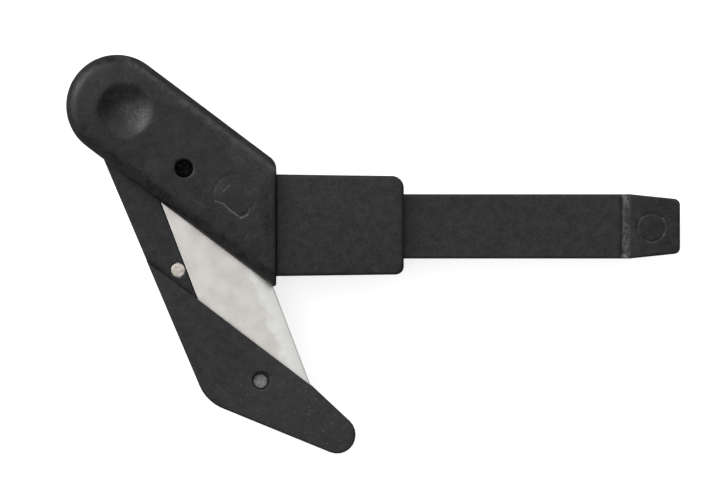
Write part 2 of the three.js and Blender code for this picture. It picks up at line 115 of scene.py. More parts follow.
# %% Lines and corners
CORNER_STEPS = 10


def direction(degrees):
    return Vector((math.cos(math.radians(degrees)), math.sin(math.radians(degrees))))


def shifted(line, distance):
    """The line moved sideways, to its left for a positive distance."""
    point, angle = line
    return point + distance * direction(angle + 90), angle


def meet(a, b):
    """Where two lines cross."""
    da, db = direction(a[1]), direction(b[1])
    along = (b[0] - a[0]).cross(db) / da.cross(db)
    return a[0] + along * da


def arc(centre, radius, start, end, steps):
    """Points on an arc from one angle to another, in degrees."""
    angles = (start + (end - start) * i / steps for i in range(steps + 1))
    return [centre + radius * direction(angle) for angle in angles]


def corner(before, point, after, radius, steps=CORNER_STEPS):
    """A corner of an outline, rounded to a radius, or left sharp for a radius of nothing."""
    if not radius:
        return [point]
    inward = (before - point).normalized()
    outward = (after - point).normalized()
    half = inward.angle(outward) / 2
    centre = point + (inward + outward).normalized() * radius / math.sin(half)
    first = point + inward * radius / math.tan(half) - centre
    last = point + outward * radius / math.tan(half) - centre
    start = math.degrees(math.atan2(first.y, first.x))
    turn = math.degrees(math.atan2(first.cross(last), first.dot(last)))
    return arc(centre, radius, start, start + turn, steps)


def outline(corners):
    """A closed outline from (point, radius) corners in anticlockwise order."""
    points = []
    for i, (point, radius) in enumerate(corners):
        before, after = corners[i - 1][0], corners[(i + 1) % len(corners)][0]
        points += corner(before, point, after, radius)
    return points


def drawn_in(points, inset):
    """The outline moved inwards by inset, point by point, so that rings of it can be joined up."""
    moved = []
    for i, point in enumerate(points):
        into = (point - points[i - 1]).normalized()
        out = (points[(i + 1) % len(points)] - point).normalized()
        normal_in = Vector((-into.y, into.x))
        normal_out = Vector((-out.y, out.x))
        mitre = (normal_in + normal_out) / (1 + normal_in.dot(normal_out))
        moved.append(point + inset * mitre)
    return moved


HEAD_LOWER = shifted(HEAD_AXIS, -HEAD_WIDTH / 2)
BACK_EDGE = shifted(CUTTING_EDGE, -BLADE_WIDTH)
crossing = meet(BACK_EDGE, HEAD_LOWER)
print("the blade's back crosses the head's lower edge at", [round(v, 2) for v in crossing])

# %% [markdown]
# ## Turning outlines into solids
# Moulded plates could be made with the Bevel modifier, but it rounds every edge alike. Here each piece
# is a stack of rings, one outline drawn in by a little more at each height, which gives every rim the
# section it really has. The end faces are filled by a constrained Delaunay triangulation, so a face may
# have extra points inside it that are pressed down into dimples and witness marks.

# %% Rings, caps and meshes
def new_piece(name, points, faces):
    """A mesh object in millimetres round the swivel axis."""
    mesh = bpy.data.meshes.new(name)
    mesh.from_pydata([tuple(p) for p in points], [], faces)
    mesh.update()
    piece = bpy.data.objects.new(name, mesh)
    bpy.context.scene.collection.objects.link(piece)
    return piece


def filled(ring, first, inner, height, points):
    """Triangles inside a ring whose vertices start at first; inner points are added to the list."""
    flat = [Vector(p[:2]) for p in ring] + inner
    rim = list(range(len(ring)))
    spots, _, faces, sources, _, _ = delaunay_2d_cdt(flat, [], [rim], 1, 1e-7)
    numbers = []
    for spot, source in zip(spots, sources):
        on_rim = [i for i in source if i < len(ring)]
        if on_rim:
            numbers.append(first + on_rim[0])
        else:
            numbers.append(len(points))
            points.append(Vector((spot.x, spot.y, height(spot.x, spot.y))))
    return [[numbers[i] for i in face] for face in faces]


def stacked(name, rings, inner=(), height=None):
    """A closed solid from rings of 3-D points, lowest first. Inner points shape the top face."""
    count = len(rings[0])
    points = [p for ring in rings for p in ring]
    faces = []
    for level in range(len(rings) - 1):
        for i in range(count):
            j = (i + 1) % count
            low, high = level * count, (level + 1) * count
            faces.append([low + i, low + j, high + j, high + i])
    faces.append(list(reversed(range(count))))
    top = (len(rings) - 1) * count
    if height:
        faces += filled(rings[-1], top, list(inner), height, points)
    else:
        faces.append(list(range(top, top + count)))
    return new_piece(name, points, faces)


def plate(name, edge, section, inner=(), height=None):
    """A plate from an outline and its rim's section, a list of (inset, height) from below."""
    rings = [[p.to_3d() + Vector((0, 0, z)) for p in drawn_in(edge, inset)] for inset, z in section]
    return stacked(name, rings, inner, height)


def quarter(steps):
    return [math.pi / 2 * i / steps for i in range(steps + 1)]


def upper_rim(radius, high, steps=6):
    """The section of a plate's rounded upper rim."""
    return [(radius * (1 - math.cos(a)), high - radius * (1 - math.sin(a))) for a in quarter(steps)]


def rim(radius, low, high, steps=6):
    """The section of a plate whose two rims are rounded."""
    below = [(radius * (1 - math.sin(a)), low + radius * (1 - math.cos(a))) for a in quarter(steps)]
    return below + upper_rim(radius, high, steps)


def turned(name, centre, profile, steps=64):
    """A solid of revolution round an upright axis, from (radius, height) pairs, lowest first."""
    rings = []
    for radius, z in profile:
        rings.append([p.to_3d() + Vector((0, 0, z)) for p in arc(centre, radius, 0, 360, steps)[:-1]])
    return stacked(name, rings)


# %% [markdown]
# ## Cutting pockets
# The covers are hollow where the fork swings, and slotted where the spine and the blade pass. Modelling
# those walls by hand would mean redoing the outside every time one moved. A Boolean modifier with the
# exact solver cuts them from the finished outside instead, as a mould's core would leave them.

# %% Boolean cuts
LIP_STEPS = 5


def applied(piece):
    """Replaces the mesh by what its modifiers make of it."""
    graph = bpy.context.evaluated_depsgraph_get()
    mesh = bpy.data.meshes.new_from_object(piece.evaluated_get(graph))
    piece.modifiers.clear()
    piece.data = mesh


def combined(piece, operation, others):
    for other in others:
        modifier = piece.modifiers.new(operation, "BOOLEAN")
        modifier.operation = operation
        modifier.solver = "EXACT"
        modifier.object = other
        applied(piece)
        bpy.data.objects.remove(other)


def cut(piece, *tools):
    combined(piece, "DIFFERENCE", tools)


def fused(piece, *parts):
    combined(piece, "UNION", parts)


def prism(edge, low, high):
    return plate("tool", edge, [(0, low), (0, high)])


def bore(centre, radius, low, high):
    return turned("tool", centre, [(radius, low), (radius, high)])


def sunk_hole(centre, radius, low, high, lip):
    """A flat-bottomed hole whose mouth has a small rounded lip."""
    mouth = [(radius + inset, z) for inset, z in upper_rim(lip, high, LIP_STEPS)]
    return turned("tool", centre, [(radius, low)] + mouth + [(radius + lip, high + 1)])


# %% [markdown]
# ## Putting a finished mesh in its place
# While a piece is being made, its numbers are millimetres from the swivel axis. This step turns them
# into metres in the shared frame, marks as sharp only the edges that a hand would feel as edges, gives
# the piece its material, hides the CAD solids it stands for and hangs it on the empty of the body that
# carries it.

# %% Finish a piece
SHARP_ANGLE = math.radians(28)


def settle(piece, nodes, material, body=None):
    mesh = piece.data
    mesh.transform(Matrix.Translation(pivot) @ Matrix.Scale(MM, 4))
    mesh.shade_smooth()
    mesh.set_sharp_from_angle(angle=SHARP_ANGLE)
    mesh.materials.clear()
    mesh.materials.append(material)
    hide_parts(*nodes)
    if body:
        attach(piece, body)
    print(f"{piece.name}: {len(mesh.vertices)} points, {len(mesh.polygons)} faces")


# %% [markdown]
# ## Shader groups
# Wear and painted highlights at the edges, the moulded grain and the dust show on several materials of
# this tool, so each of them is one node group that is made once and placed wherever it is needed with
# its own values. The groups only give out masks, heights and normals. The Principled shader stays in
# each material, where an exporter looks for it.

# %% Node helpers
def node(tree, kind, inputs=(), **settings):
    """A shader node with its settings, and its inputs set or joined by name or number."""
    made = tree.nodes.new("ShaderNode" + kind)
    for name, value in settings.items():
        setattr(made, name, value)
    for key, value in dict(inputs).items():
        if isinstance(value, bpy.types.NodeSocket):
            tree.links.new(value, made.inputs[key])
        else:
            made.inputs[key].default_value = value
    return made


def maths(tree, operation, a, b=0.0, clamp=False):
    return node(tree, "Math", {0: a, 1: b}, operation=operation, use_clamp=clamp).outputs[0]


def times(tree, a, b):
    return maths(tree, "MULTIPLY", a, b)


def vectors(tree, operation, a, b=(0, 0, 0)):
    """A vector made from two others, or the number that their dot product or distance is."""
    made = node(tree, "VectorMath", {0: a, 1: b}, operation=operation)
    return made.outputs["Value" if operation in ("DOT_PRODUCT", "DISTANCE") else "Vector"]


def spread(tree, value, low, high, to_low=0.0, to_high=1.0):
    """The value's stretch from low to high, mapped softly onto another one."""
    limits = {"Value": value, "From Min": low, "From Max": high, "To Min": to_low, "To Max": to_high}
    return node(tree, "MapRange", limits, interpolation_type="SMOOTHSTEP").outputs["Result"]


def mixed(tree, factor, a, b):
    """A colour between a and b."""
    COLOUR_A, COLOUR_B, COLOUR_OUT = 6, 7, 2
    mix = node(tree, "Mix", {0: factor, COLOUR_A: a, COLOUR_B: b}, data_type="RGBA")
    return mix.outputs[COLOUR_OUT]


def lumps(tree, vector, scale, detail, roughness=0.5):
    """Noise with about scale lumps in a metre."""
    inputs = {"Vector": vector, "Scale": scale, "Detail": detail, "Roughness": roughness}
    return node(tree, "TexNoise", inputs).outputs["Fac"]


def noise(tree, vector, size, detail, roughness=0.55):
    """Noise whose lumps are about size millimetres across."""
    return lumps(tree, vector, 1 / (size * MM), detail, roughness)


def new_group(name, inputs, outputs):
    """A group with its sockets made: (name, kind, default) inputs and (name, kind) outputs."""
    group = bpy.data.node_groups.new(name, "ShaderNodeTree")
    for socket, kind, default in inputs:
        made = group.interface.new_socket(socket, in_out="INPUT", socket_type="NodeSocket" + kind)
        if default is not None:
            made.default_value = default
    for socket, kind in outputs:
        group.interface.new_socket(socket, in_out="OUTPUT", socket_type="NodeSocket" + kind)
    return group, group.nodes.new("NodeGroupInput").outputs, group.nodes.new("NodeGroupOutput").inputs


def placed(tree, group, place, **values):
    """The outputs of a group that reads the material's coordinates and has its own values."""
    return node(tree, "Group", {"Vector": place, **values}, node_tree=group).outputs


# %% [markdown]
# ### Moulded grain
# Glass-filled nylon comes out of a spark-eroded mould with a fine, even texture, and the flow of the
# melt leaves it a little cloudy. Noises of very different size give both: the fine one is a height and
# a faint fleck in the colour, and the large one is a mask that the colour and the gloss follow.

# %% Group: moulded grain
def make_moulded_grain():
    group, given, out = new_group(
        "Moulded grain",
        [("Vector", "Vector", None), ("Grain", "Float", 6000.0), ("Cloud", "Float", 300.0)],
        [("Height", "Float"), ("Cloud", "Float"), ("Fleck", "Float")],
    )
    fine = lumps(group, given["Vector"], given["Grain"], 2.0)
    cells = node(group, "TexVoronoi", {"Vector": given["Vector"], "Scale": given["Grain"]})
    both = maths(group, "ADD", fine, times(group, cells.outputs["Distance"], 0.6))
    cloud = lumps(group, given["Vector"], given["Cloud"], 6.0, 0.62)
    group.links.new(both, out["Height"])
    group.links.new(spread(group, cloud, 0.34, 0.68), out["Cloud"])
    group.links.new(spread(group, fine, 0.44, 0.7), out["Fleck"])
    return group


MOULDED_GRAIN = make_moulded_grain()
print("group made:", MOULDED_GRAIN.name)

# %% [markdown]
# ### Edge wear and sheen
# Edges take the rubbing of hands and pouches, so they turn paler and smoother. On the nylon pieces the
# pale edge is also a painted highlight of the rounded rims. Baked curvature would need a dense mesh, but
# the Bevel node finds edges on any mesh: where its rounded normal leaves the true one, there is an edge.
# The same rounded normal also takes the knife sharpness off the corners.

# %% Group: edge wear and sheen
def make_edge_wear_and_sheen():
    group, given, out = new_group(
        "Edge wear and sheen",
        [("Vector", "Vector", None), ("Radius", "Float", 0.0004), ("Breakup", "Float", 900.0)],
        [("Mask", "Float"), ("Normal", "Vector")],
    )
    wide = node(group, "Bevel", {"Radius": given["Radius"]}, samples=6)
    true = node(group, "NewGeometry")
    dot = vectors(group, "DOT_PRODUCT", wide.outputs[0], true.outputs["Normal"])
    edge = spread(group, dot, 0.995, 0.86)
    patchy = spread(group, lumps(group, given["Vector"], given["Breakup"], 4.0), 0.3, 0.62)
    # the mask paints edges pale: wear, and on the nylon also a painted highlight of the rounded rims
    group.links.new(times(group, edge, patchy), out["Mask"])
    group.links.new(wide.outputs[0], out["Normal"])
    return group


EDGE_WEAR_AND_SHEEN = make_edge_wear_and_sheen()
print("group made:", EDGE_WEAR_AND_SHEEN.name)

# %% [markdown]
# ### Scuff and sheen patches
# Some wear sits in one place only, where a thumb rests or where the tool rubs on a bench, and some
# patches are a painted highlight where a hollow's wall faces the light. A patch is a ball round a point:
# its mask fades from the centre to the radius and is broken up by noise.

# %% Group: scuff and sheen patch
def make_scuff_and_sheen_patch():
    group, given, out = new_group(
        "Scuff and sheen patch",
        [("Vector", "Vector", None), ("Centre", "Vector", None), ("Radius", "Float", 0.002)],
        [("Mask", "Float")],
    )
    away = vectors(group, "DISTANCE", given["Vector"], given["Centre"])
    share = maths(group, "DIVIDE", away, given["Radius"])
    torn = spread(group, lumps(group, given["Vector"], 2600.0, 8.0, 0.7), 0.36, 0.72)
    group.links.new(times(group, spread(group, share, 1.0, 0.2), torn), out["Mask"])
    return group


SCUFF_AND_SHEEN_PATCH = make_scuff_and_sheen_patch()
print("group made:", SCUFF_AND_SHEEN_PATCH.name)

# %% [markdown]
# ### Hairline scratches
# Scratches are thin bands of a noise that has been pulled out along one direction. Two layers at
# different angles keep them from looking combed, and a large noise leaves whole areas untouched.

# %% Group: hairline scratches
PULL = 0.035
SCRATCH_ANGLES = (35, -62)


def make_hairlines():
    group, given, out = new_group(
        "Hairline scratches",
        [("Vector", "Vector", None), ("Width", "Float", 2600.0), ("Share", "Float", 0.5)],
        [("Mask", "Float")],
    )
    layers = []
    for turn in SCRATCH_ANGLES:
        spun = node(group, "VectorRotate", {"Vector": given["Vector"], "Angle": math.radians(turn)})
        drawn = vectors(group, "MULTIPLY", spun.outputs[0], (PULL, 1, 1))
        layers.append(spread(group, lumps(group, drawn, given["Width"], 1.0), 0.69, 0.74))
    spared = maths(group, "SUBTRACT", 1.0, given["Share"])
    here = maths(group, "GREATER_THAN", lumps(group, given["Vector"], 240.0, 2.0), spared)
    both = maths(group, "MAXIMUM", layers[0], layers[1])
    group.links.new(times(group, both, here), out["Mask"])
    return group


HAIRLINES = make_hairlines()
print("group made:", HAIRLINES.name)

# %% [markdown]
# ### Single strokes
# A scratch that the eye would remember, such as the hooked one beside the ejector mark, should not
# move when a noise is changed. A stroke is the band round a straight line between two points, and a
# bent scratch is two strokes that share a point.

# %% Group: stroke
def make_stroke():
    group, given, out = new_group(
        "Stroke",
        [("Vector", "Vector", None), ("Start", "Vector", None), ("End", "Vector", None),
         ("Width", "Float", 0.0001)],
        [("Mask", "Float")],
    )
    line = vectors(group, "SUBTRACT", given["End"], given["Start"])
    local = vectors(group, "SUBTRACT", given["Vector"], given["Start"])
    along = vectors(group, "DOT_PRODUCT", local, line)
    share = maths(group, "DIVIDE", along, vectors(group, "DOT_PRODUCT", line, line), clamp=True)
    foot = node(group, "VectorMath", {0: line, "Scale": share}, operation="SCALE").outputs[0]
    away = vectors(group, "DISTANCE", local, foot)
    ragged = spread(group, lumps(group, given["Vector"], 4200.0, 3.0), 0.35, 0.65, 0.55, 1.25)
    width = times(group, given["Width"], ragged)
    group.links.new(spread(group, maths(group, "DIVIDE", away, width), 1.0, 0.45), out["Mask"])
    return group


STROKE = make_stroke()
print("group made:", STROKE.name)

# %% [markdown]
# ### Specks
# Pale specks of dust and nicked fibre lie scattered on the dark nylon. Voronoi cells give one speck
# each, and a cell's own random value decides whether it has one at all.

# %% Group: specks
def make_specks():
    group, given, out = new_group(
        "Specks",
        [("Vector", "Vector", None), ("Density", "Float", 900.0), ("Share", "Float", 0.15)],
        [("Mask", "Float")],
    )
    cells = node(group, "TexVoronoi", {"Vector": given["Vector"], "Scale": given["Density"]})
    speck = spread(group, cells.outputs["Distance"], 0.25, 0.06)
    luck = node(group, "SeparateColor", {0: cells.outputs["Color"]})
    chosen = maths(group, "LESS_THAN", luck.outputs[0], given["Share"])
    pale = times(group, speck, spread(group, luck.outputs[1], 0.2, 1.0, 0.05, 1.0))
    group.links.new(times(group, pale, chosen), out["Mask"])
    return group


SPECKS = make_specks()
print("group made:", SPECKS.name)

# %% [markdown]
# ## Materials
# Every material starts in the same way: a Principled shader, a place to read coordinates from, and a
# Bump node. Object coordinates are metres here, so sizes in the groups are real sizes.

# %% Material base
def new_material(name):
    material = bpy.data.materials.new(name)
    material.use_nodes = True
    tree = material.node_tree
    tree.nodes.clear()
    shader = node(tree, "BsdfPrincipled")
    output = node(tree, "OutputMaterial")
    tree.links.new(shader.outputs[0], output.inputs["Surface"])
    place = node(tree, "TexCoord").outputs["Object"]
    return material, tree, shader, place


def bumped(tree, shader, height, normal, depth):
    """Joins a height, whose unit is depth millimetres, to the shader on top of a normal."""
    inputs = {"Height": height, "Normal": normal, "Distance": depth * MM, "Strength": 1.0}
    tree.links.new(node(tree, "Bump", inputs).outputs[0], shader.inputs["Normal"])


def spot(x, y, z):
    """A point on the tool, given in millimetres from the swivel axis."""
    return pivot + MM * Vector((x, y, z))


# %% [markdown]
# ### Grip nylon
# The two covers are charcoal nylon, slightly warm, with the soft mottling that handling leaves. Paint
# or a flat grey would look like a toy: the colour wanders between a warm and a cool grey, and the top
# edge near the shank is scuffed pale. A pale band on the rounded upper rim is a painted highlight, and
# the pale lower side of the thumb dimple is a painted highlight where its wall faces the light.

# %% Material: grip nylon
# Each patch has its centre, its radius and how pale it is. Two of them, in the thumb dimple, are a
# painted highlight on its lower-right wall, which faces the light; the others are scuffs.
SCUFFS_AND_DIMPLE_HIGHLIGHTS = (
    (spot(8.6, 2.3, 4.4), 3.4, 0.45),
    (spot(11.4, -0.4, 4.4), 2.8, 0.4),
    # the next two are a painted highlight on the dimple's lit lower-right wall
    (spot(-6.4, 7.4, 4.0), 3.0, 1.0),
    (spot(-7.8, 8.4, 3.8), 1.8, 0.8),
    (spot(5.2, 4.6, 4.2), 2.2, 0.3),
    (spot(-8.0, 13.2, 4.6), 2.0, 0.4),
    (spot(-4.6, -0.4, 4.6), 2.4, 0.3),
    (spot(9.8, -3.4, 5.0), 2.0, 0.3),
    (spot(4.6, -2.6, 5.0), 2.2, 0.35),
)
# The hooked scratch runs from point to point and changes its width on the way.
HOOK_ROUTE = ((4.0, -4.5), (5.6, -5.0), (6.6, -6.0), (8.3, -7.1), (9.1, -6.6), (9.4, -5.7))
HOOK_WIDTHS = (0.15, 0.2, 0.24, 0.2, 0.14)
SCRATCHES = [(start, end, width) for start, end, width in zip(HOOK_ROUTE, HOOK_ROUTE[1:], HOOK_WIDTHS)]
SCRATCHES += [((6.6, -2.4), (5.6, -3.3), 0.12), ((8.6, 1.2), (11.6, -1.0), 0.11)]

GRIP_DEEP = (0.0006, 0.0008, 0.0014, 1)
GRIP_BODY = (0.0125, 0.0116, 0.0113, 1)
GRIP_SMUDGE = (0.025, 0.0245, 0.025, 1)
GRIP_FLECK = (0.046, 0.045, 0.045, 1)
# the pale of wear and of painted highlights on the rims and in the dimple
GRIP_PALE_WEAR_AND_HIGHLIGHT = (0.115, 0.113, 0.11, 1)
GRIP_SCRATCH = (0.13, 0.13, 0.13, 1)
NYLON_SPECULAR = 0.4  # filled nylon mirrors a little less than a clear plastic


def band(tree, value, rise, fall):
    """A mask over a range of values, from (start, full) and (full, end) pairs in millimetres."""
    up = spread(tree, value, rise[0] * MM, rise[1] * MM)
    down = spread(tree, value, fall[1] * MM, fall[0] * MM)
    return times(tree, down, up)


def upper_rim_highlight(tree, place):
    """A pale, broken band painted just inside the head's upper edge, on its rounding: a painted highlight.
    """
    local = vectors(tree, "SUBTRACT", place, spot(*HEAD_END, 0))
    across = vectors(tree, "DOT_PRODUCT", local, (*direction(HEAD_AXIS[1] + 90), 0))
    torn = spread(tree, noise(tree, place, 1.1, 6, 0.65), 0.38, 0.66)
    # painted highlight on the rounded upper rim, broken up by noise
    return times(tree, band(tree, across, (5.2, 6.0), (6.3, 6.8)), times(tree, torn, 0.5))


def grip_wear_and_highlights(tree, place, pale_edge):
    """Everything painted pale on the grip: edges that are worn and also painted rim highlights, a painted
    highlight band on the upper rim, scuffs, a painted highlight in the dimple, and scratches.
    """
    # pale rims are wear and painted highlight; the upper band is a painted highlight
    wear_and_highlight = maths(tree, "MAXIMUM", times(tree, pale_edge, 0.35), upper_rim_highlight(tree, place))
    for centre, radius, strength in SCUFFS_AND_DIMPLE_HIGHLIGHTS:
        patch = placed(tree, SCUFF_AND_SHEEN_PATCH, place, Centre=centre, Radius=radius * MM)
        wear_and_highlight = maths(tree, "MAXIMUM", wear_and_highlight, times(tree, patch["Mask"], strength))
    for start, end, width in SCRATCHES:
        ends = {"Start": spot(*start, HEAD_HALF), "End": spot(*end, HEAD_HALF)}
        stroke = placed(tree, STROKE, place, Width=width * MM, **ends)
        wear_and_highlight = maths(tree, "MAXIMUM", wear_and_highlight, stroke["Mask"])
    return wear_and_highlight


def make_grip_nylon():
    material, tree, shader, place = new_material("grip nylon")
    grain = placed(tree, MOULDED_GRAIN, place, Grain=3400.0, Cloud=480.0)
    edge_wear_and_sheen = placed(tree, EDGE_WEAR_AND_SHEEN, place, Radius=0.5 * MM)
    lines = placed(tree, HAIRLINES, place, Share=0.45)
    smudge = spread(tree, noise(tree, place, 1.3, 8, 0.72), 0.38, 0.66)
    wear_and_highlight = grip_wear_and_highlights(tree, place, edge_wear_and_sheen["Mask"])
    colour = mixed(tree, grain["Cloud"], GRIP_DEEP, GRIP_BODY)
    colour = mixed(tree, times(tree, smudge, 0.48), colour, GRIP_SMUDGE)
    colour = mixed(tree, times(tree, grain["Fleck"], 0.22), colour, GRIP_FLECK)
    # wear, scratches and painted highlights on the rims and in the dimple
    colour = mixed(tree, times(tree, wear_and_highlight, 0.62), colour, GRIP_PALE_WEAR_AND_HIGHLIGHT)
    colour = mixed(tree, times(tree, lines["Mask"], 0.1), colour, GRIP_SCRATCH)
    tree.links.new(colour, shader.inputs["Base Color"])
    gloss = spread(tree, smudge, 0.0, 1.0, 0.38, 0.54)
    tree.links.new(maths(tree, "ADD", gloss, times(tree, wear_and_highlight, 0.08)), shader.inputs["Roughness"])
    height = maths(tree, "ADD", grain["Height"], times(tree, grain["Cloud"], 1.6))
    height = maths(tree, "SUBTRACT", height, times(tree, lines["Mask"], 0.8))
    bumped(tree, shader, height, edge_wear_and_sheen["Normal"], 0.02)
    shader.inputs["Specular IOR Level"].default_value = NYLON_SPECULAR
    return material


GRIP_NYLON = make_grip_nylon()
print("material made:", GRIP_NYLON.name)

# %% [markdown]
# ### Frame nylon
# The shank, the hook and the tongue are the same glass-filled nylon with a finer, drier and slightly
# bluish surface. Their rims are painted pale, partly wear and partly a painted highlight of the rounded
# edges, and the nose, which slides along cardboard and film, has picked up specks. The specks get
# denser towards its tip, where the nylon is also painted paler as painted light, and the catch's ramp
# carries a painted highlight.

# %% Material: frame nylon
# centre of the nose's specks and of the painted light that makes its tip paler
NOSE_SPECK_AND_LIGHT_CENTRE = spot(19.0, -36.0, 0.0)
CATCH_RAMP = spot(63.2, -8.25, 2.2)
EJECTOR_MARK = spot(66.9, -8.43, 2.75)
FRAME_DEEP = (0.0014, 0.0019, 0.0026, 1)
FRAME_BODY = (0.0115, 0.012, 0.0128, 1)
FRAME_SMUDGE = (0.0285, 0.029, 0.0296, 1)
FRAME_FLECK = (0.034, 0.036, 0.038, 1)
# pale rims: wear, and a painted highlight of the rounded edges
FRAME_RIM_WEAR_AND_SHEEN = (0.12, 0.125, 0.13, 1)
FRAME_SCRATCH = (0.12, 0.12, 0.12, 1)
# painted light: a paler tone towards the nose's tip
NOSE_PAINTED_LIGHT = (0.05, 0.05, 0.05, 1)
NOSE_SPECK = (0.16, 0.16, 0.16, 1)
# painted highlight of the catch's ramp
RAMP_PAINTED_HIGHLIGHT = (0.15, 0.148, 0.145, 1)
BURR_PALE = (0.11, 0.11, 0.11, 1)


def ramp_highlight(tree, place):
    """A painted highlight on the catch's ramp, which faces the light, strongest at its two ends."""
    away = vectors(tree, "ABSOLUTE", vectors(tree, "SUBTRACT", place, CATCH_RAMP))
    parts = node(tree, "SeparateXYZ", {0: away}).outputs
    wander = spread(tree, noise(tree, place, 0.7, 4), 0.25, 0.75, -0.2 * MM, 0.2 * MM)
    strip = spread(tree, maths(tree, "ADD", parts["X"], wander), 0.46 * MM, 0.3 * MM)
    ends = spread(tree, parts["Y"], 3.0 * MM, 4.3 * MM, 0.5, 1.0)
    front = spread(tree, parts["Z"], 1.2 * MM, 0.8 * MM)
    torn = spread(tree, noise(tree, place, 0.8, 6, 0.7), 0.4, 0.6, 0.15, 1.0)
    return times(tree, times(tree, strip, ends), times(tree, torn, front))


def ejector_burr(tree, place):
    """The pale, broken rim that the ejector pin has left on the catch."""
    away = vectors(tree, "DISTANCE", place, EJECTOR_MARK)
    torn = spread(tree, noise(tree, place, 1.1, 5, 0.65), 0.5, 0.66)
    return times(tree, band(tree, away, (1.7, 2.0), (2.1, 2.3)), torn)


def make_frame_nylon():
    material, tree, shader, place = new_material("frame nylon")
    grain = placed(tree, MOULDED_GRAIN, place, Grain=4200.0, Cloud=620.0)
    edge_wear_and_sheen = placed(tree, EDGE_WEAR_AND_SHEEN, place, Radius=0.3 * MM)
    lines = placed(tree, HAIRLINES, place, Width=3400.0, Share=0.42)
    specks = placed(tree, SPECKS, place, Density=1700.0, Share=0.9)
    smudge = spread(tree, noise(tree, place, 1.2, 8, 0.75), 0.4, 0.62)
    near_nose = spread(tree, vectors(tree, "DISTANCE", place, NOSE_SPECK_AND_LIGHT_CENTRE), 21 * MM, 5 * MM, 0.05, 1.0)
    layers = (
        (times(tree, smudge, 0.5), FRAME_SMUDGE),
        (times(tree, grain["Fleck"], 0.42), FRAME_FLECK),
        # pale rims: wear, and a painted highlight of the rounded edges
        (times(tree, edge_wear_and_sheen["Mask"], 0.5), FRAME_RIM_WEAR_AND_SHEEN),
        (times(tree, lines["Mask"], 0.08), FRAME_SCRATCH),
        # painted light: the nose is painted paler towards its tip
        (times(tree, near_nose, 0.2), NOSE_PAINTED_LIGHT),
        (times(tree, times(tree, specks["Mask"], near_nose), 0.6), NOSE_SPECK),
        # painted highlight on the catch's ramp
        (ramp_highlight(tree, place), RAMP_PAINTED_HIGHLIGHT),
        (times(tree, ejector_burr(tree, place), 0.7), BURR_PALE),
    )
    colour = mixed(tree, grain["Cloud"], FRAME_DEEP, FRAME_BODY)
    for mask, paint in layers:
        colour = mixed(tree, mask, colour, paint)
    tree.links.new(colour, shader.inputs["Base Color"])
    tree.links.new(spread(tree, grain["Cloud"], 0.0, 1.0, 0.47, 0.58), shader.inputs["Roughness"])
    height = maths(tree, "ADD", grain["Height"], times(tree, grain["Cloud"], 0.8))
    bumped(tree, shader, height, edge_wear_and_sheen["Normal"], 0.014)
    shader.inputs["Specular IOR Level"].default_value = NYLON_SPECULAR
    return material


FRAME_NYLON = make_frame_nylon()
print("material made:", FRAME_NYLON.name)

# %% [markdown]
# ### Blade steel
# A trapezoid blade is cut from rolled strip, so its flats carry fine lines along its length, and its
# bevels are ground across the edge afterwards and look lighter and cleaner. One material does both: it
# measures how far a point is from the cutting edge, and changes over at the width of the bevel.

# %% Material: blade steel
BEVEL_WIDTH = 2.3
FLAT_PALE = (0.76, 0.735, 0.695, 1)
FLAT_WARM = (0.675, 0.64, 0.605, 1)
FLAT_LINES = (0.775, 0.745, 0.705, 1)
BEVEL_DARK = (0.92, 0.93, 0.88, 1)
BEVEL_PALE = (0.96, 0.97, 0.92, 1)
HONED_STEEL = (0.5, 0.5, 0.48, 1)


def make_blade_steel():
    material, tree, shader, place = new_material("blade steel")
    edge_point, edge_angle = CUTTING_EDGE
    local = vectors(tree, "SUBTRACT", place, spot(*edge_point, 0))
    inward = vectors(tree, "DOT_PRODUCT", local, (*direction(edge_angle - 90), 0))
    run = vectors(tree, "DOT_PRODUCT", local, (*direction(edge_angle), 0))
    uneven = spread(tree, noise(tree, place, 2.0, 6, 0.6), 0.25, 0.75, -0.7 * MM, 0.7 * MM)
    from_edge = maths(tree, "ADD", inward, uneven)
    ground = spread(tree, from_edge, (BEVEL_WIDTH + 0.6) * MM, (BEVEL_WIDTH - 0.8) * MM)
    honed = spread(tree, inward, 0.22 * MM, 0.1 * MM)

    def lines(stretch_along, stretch_across):
        parts = {0: times(tree, run, stretch_along), 1: times(tree, inward, stretch_across)}
        return lumps(tree, node(tree, "CombineXYZ", parts).outputs[0], 9000.0, 3.0)

    rolled = lines(0.02, 1.0)
    stoned = lines(1.0, 0.03)
    blotch = spread(tree, noise(tree, place, 2.6, 6, 0.6), 0.36, 0.66)
    flat = mixed(tree, blotch, FLAT_PALE, FLAT_WARM)
    flat = mixed(tree, times(tree, spread(tree, rolled, 0.35, 0.7), 0.6), flat, FLAT_LINES)
    bevel = mixed(tree, spread(tree, stoned, 0.3, 0.7), BEVEL_DARK, BEVEL_PALE)
    colour = mixed(tree, ground, flat, bevel)
    colour = mixed(tree, times(tree, honed, 0.5), colour, HONED_STEEL)
    edge_wear_and_sheen = placed(tree, EDGE_WEAR_AND_SHEEN, place, Radius=0.1 * MM)
    tree.links.new(colour, shader.inputs["Base Color"])
    shader.inputs["Metallic"].default_value = 1.0
    gloss = spread(tree, ground, 0.0, 1.0, 0.31, 0.38)
    tree.links.new(maths(tree, "ADD", gloss, times(tree, blotch, 0.05)), shader.inputs["Roughness"])
    bumped(tree, shader, mixed(tree, ground, rolled, stoned), edge_wear_and_sheen["Normal"], 0.004)
    return material


BLADE_STEEL = make_blade_steel()
print("material made:", BLADE_STEEL.name)

# %% [markdown]
# ### Pins, washers and springs
# The pins are cut from drawn wire: a warm, slightly tarnished steel whose cropped ends are matt and
# blotchy. The nose's rivet is given a darker grey that is painted shade of its recess, the swivel pin is
# oil-blackened and painted near black for the shade of its deep hole, and the washers are blue-grey
# spring steel. They differ only in colours and gloss, so one function makes all four.

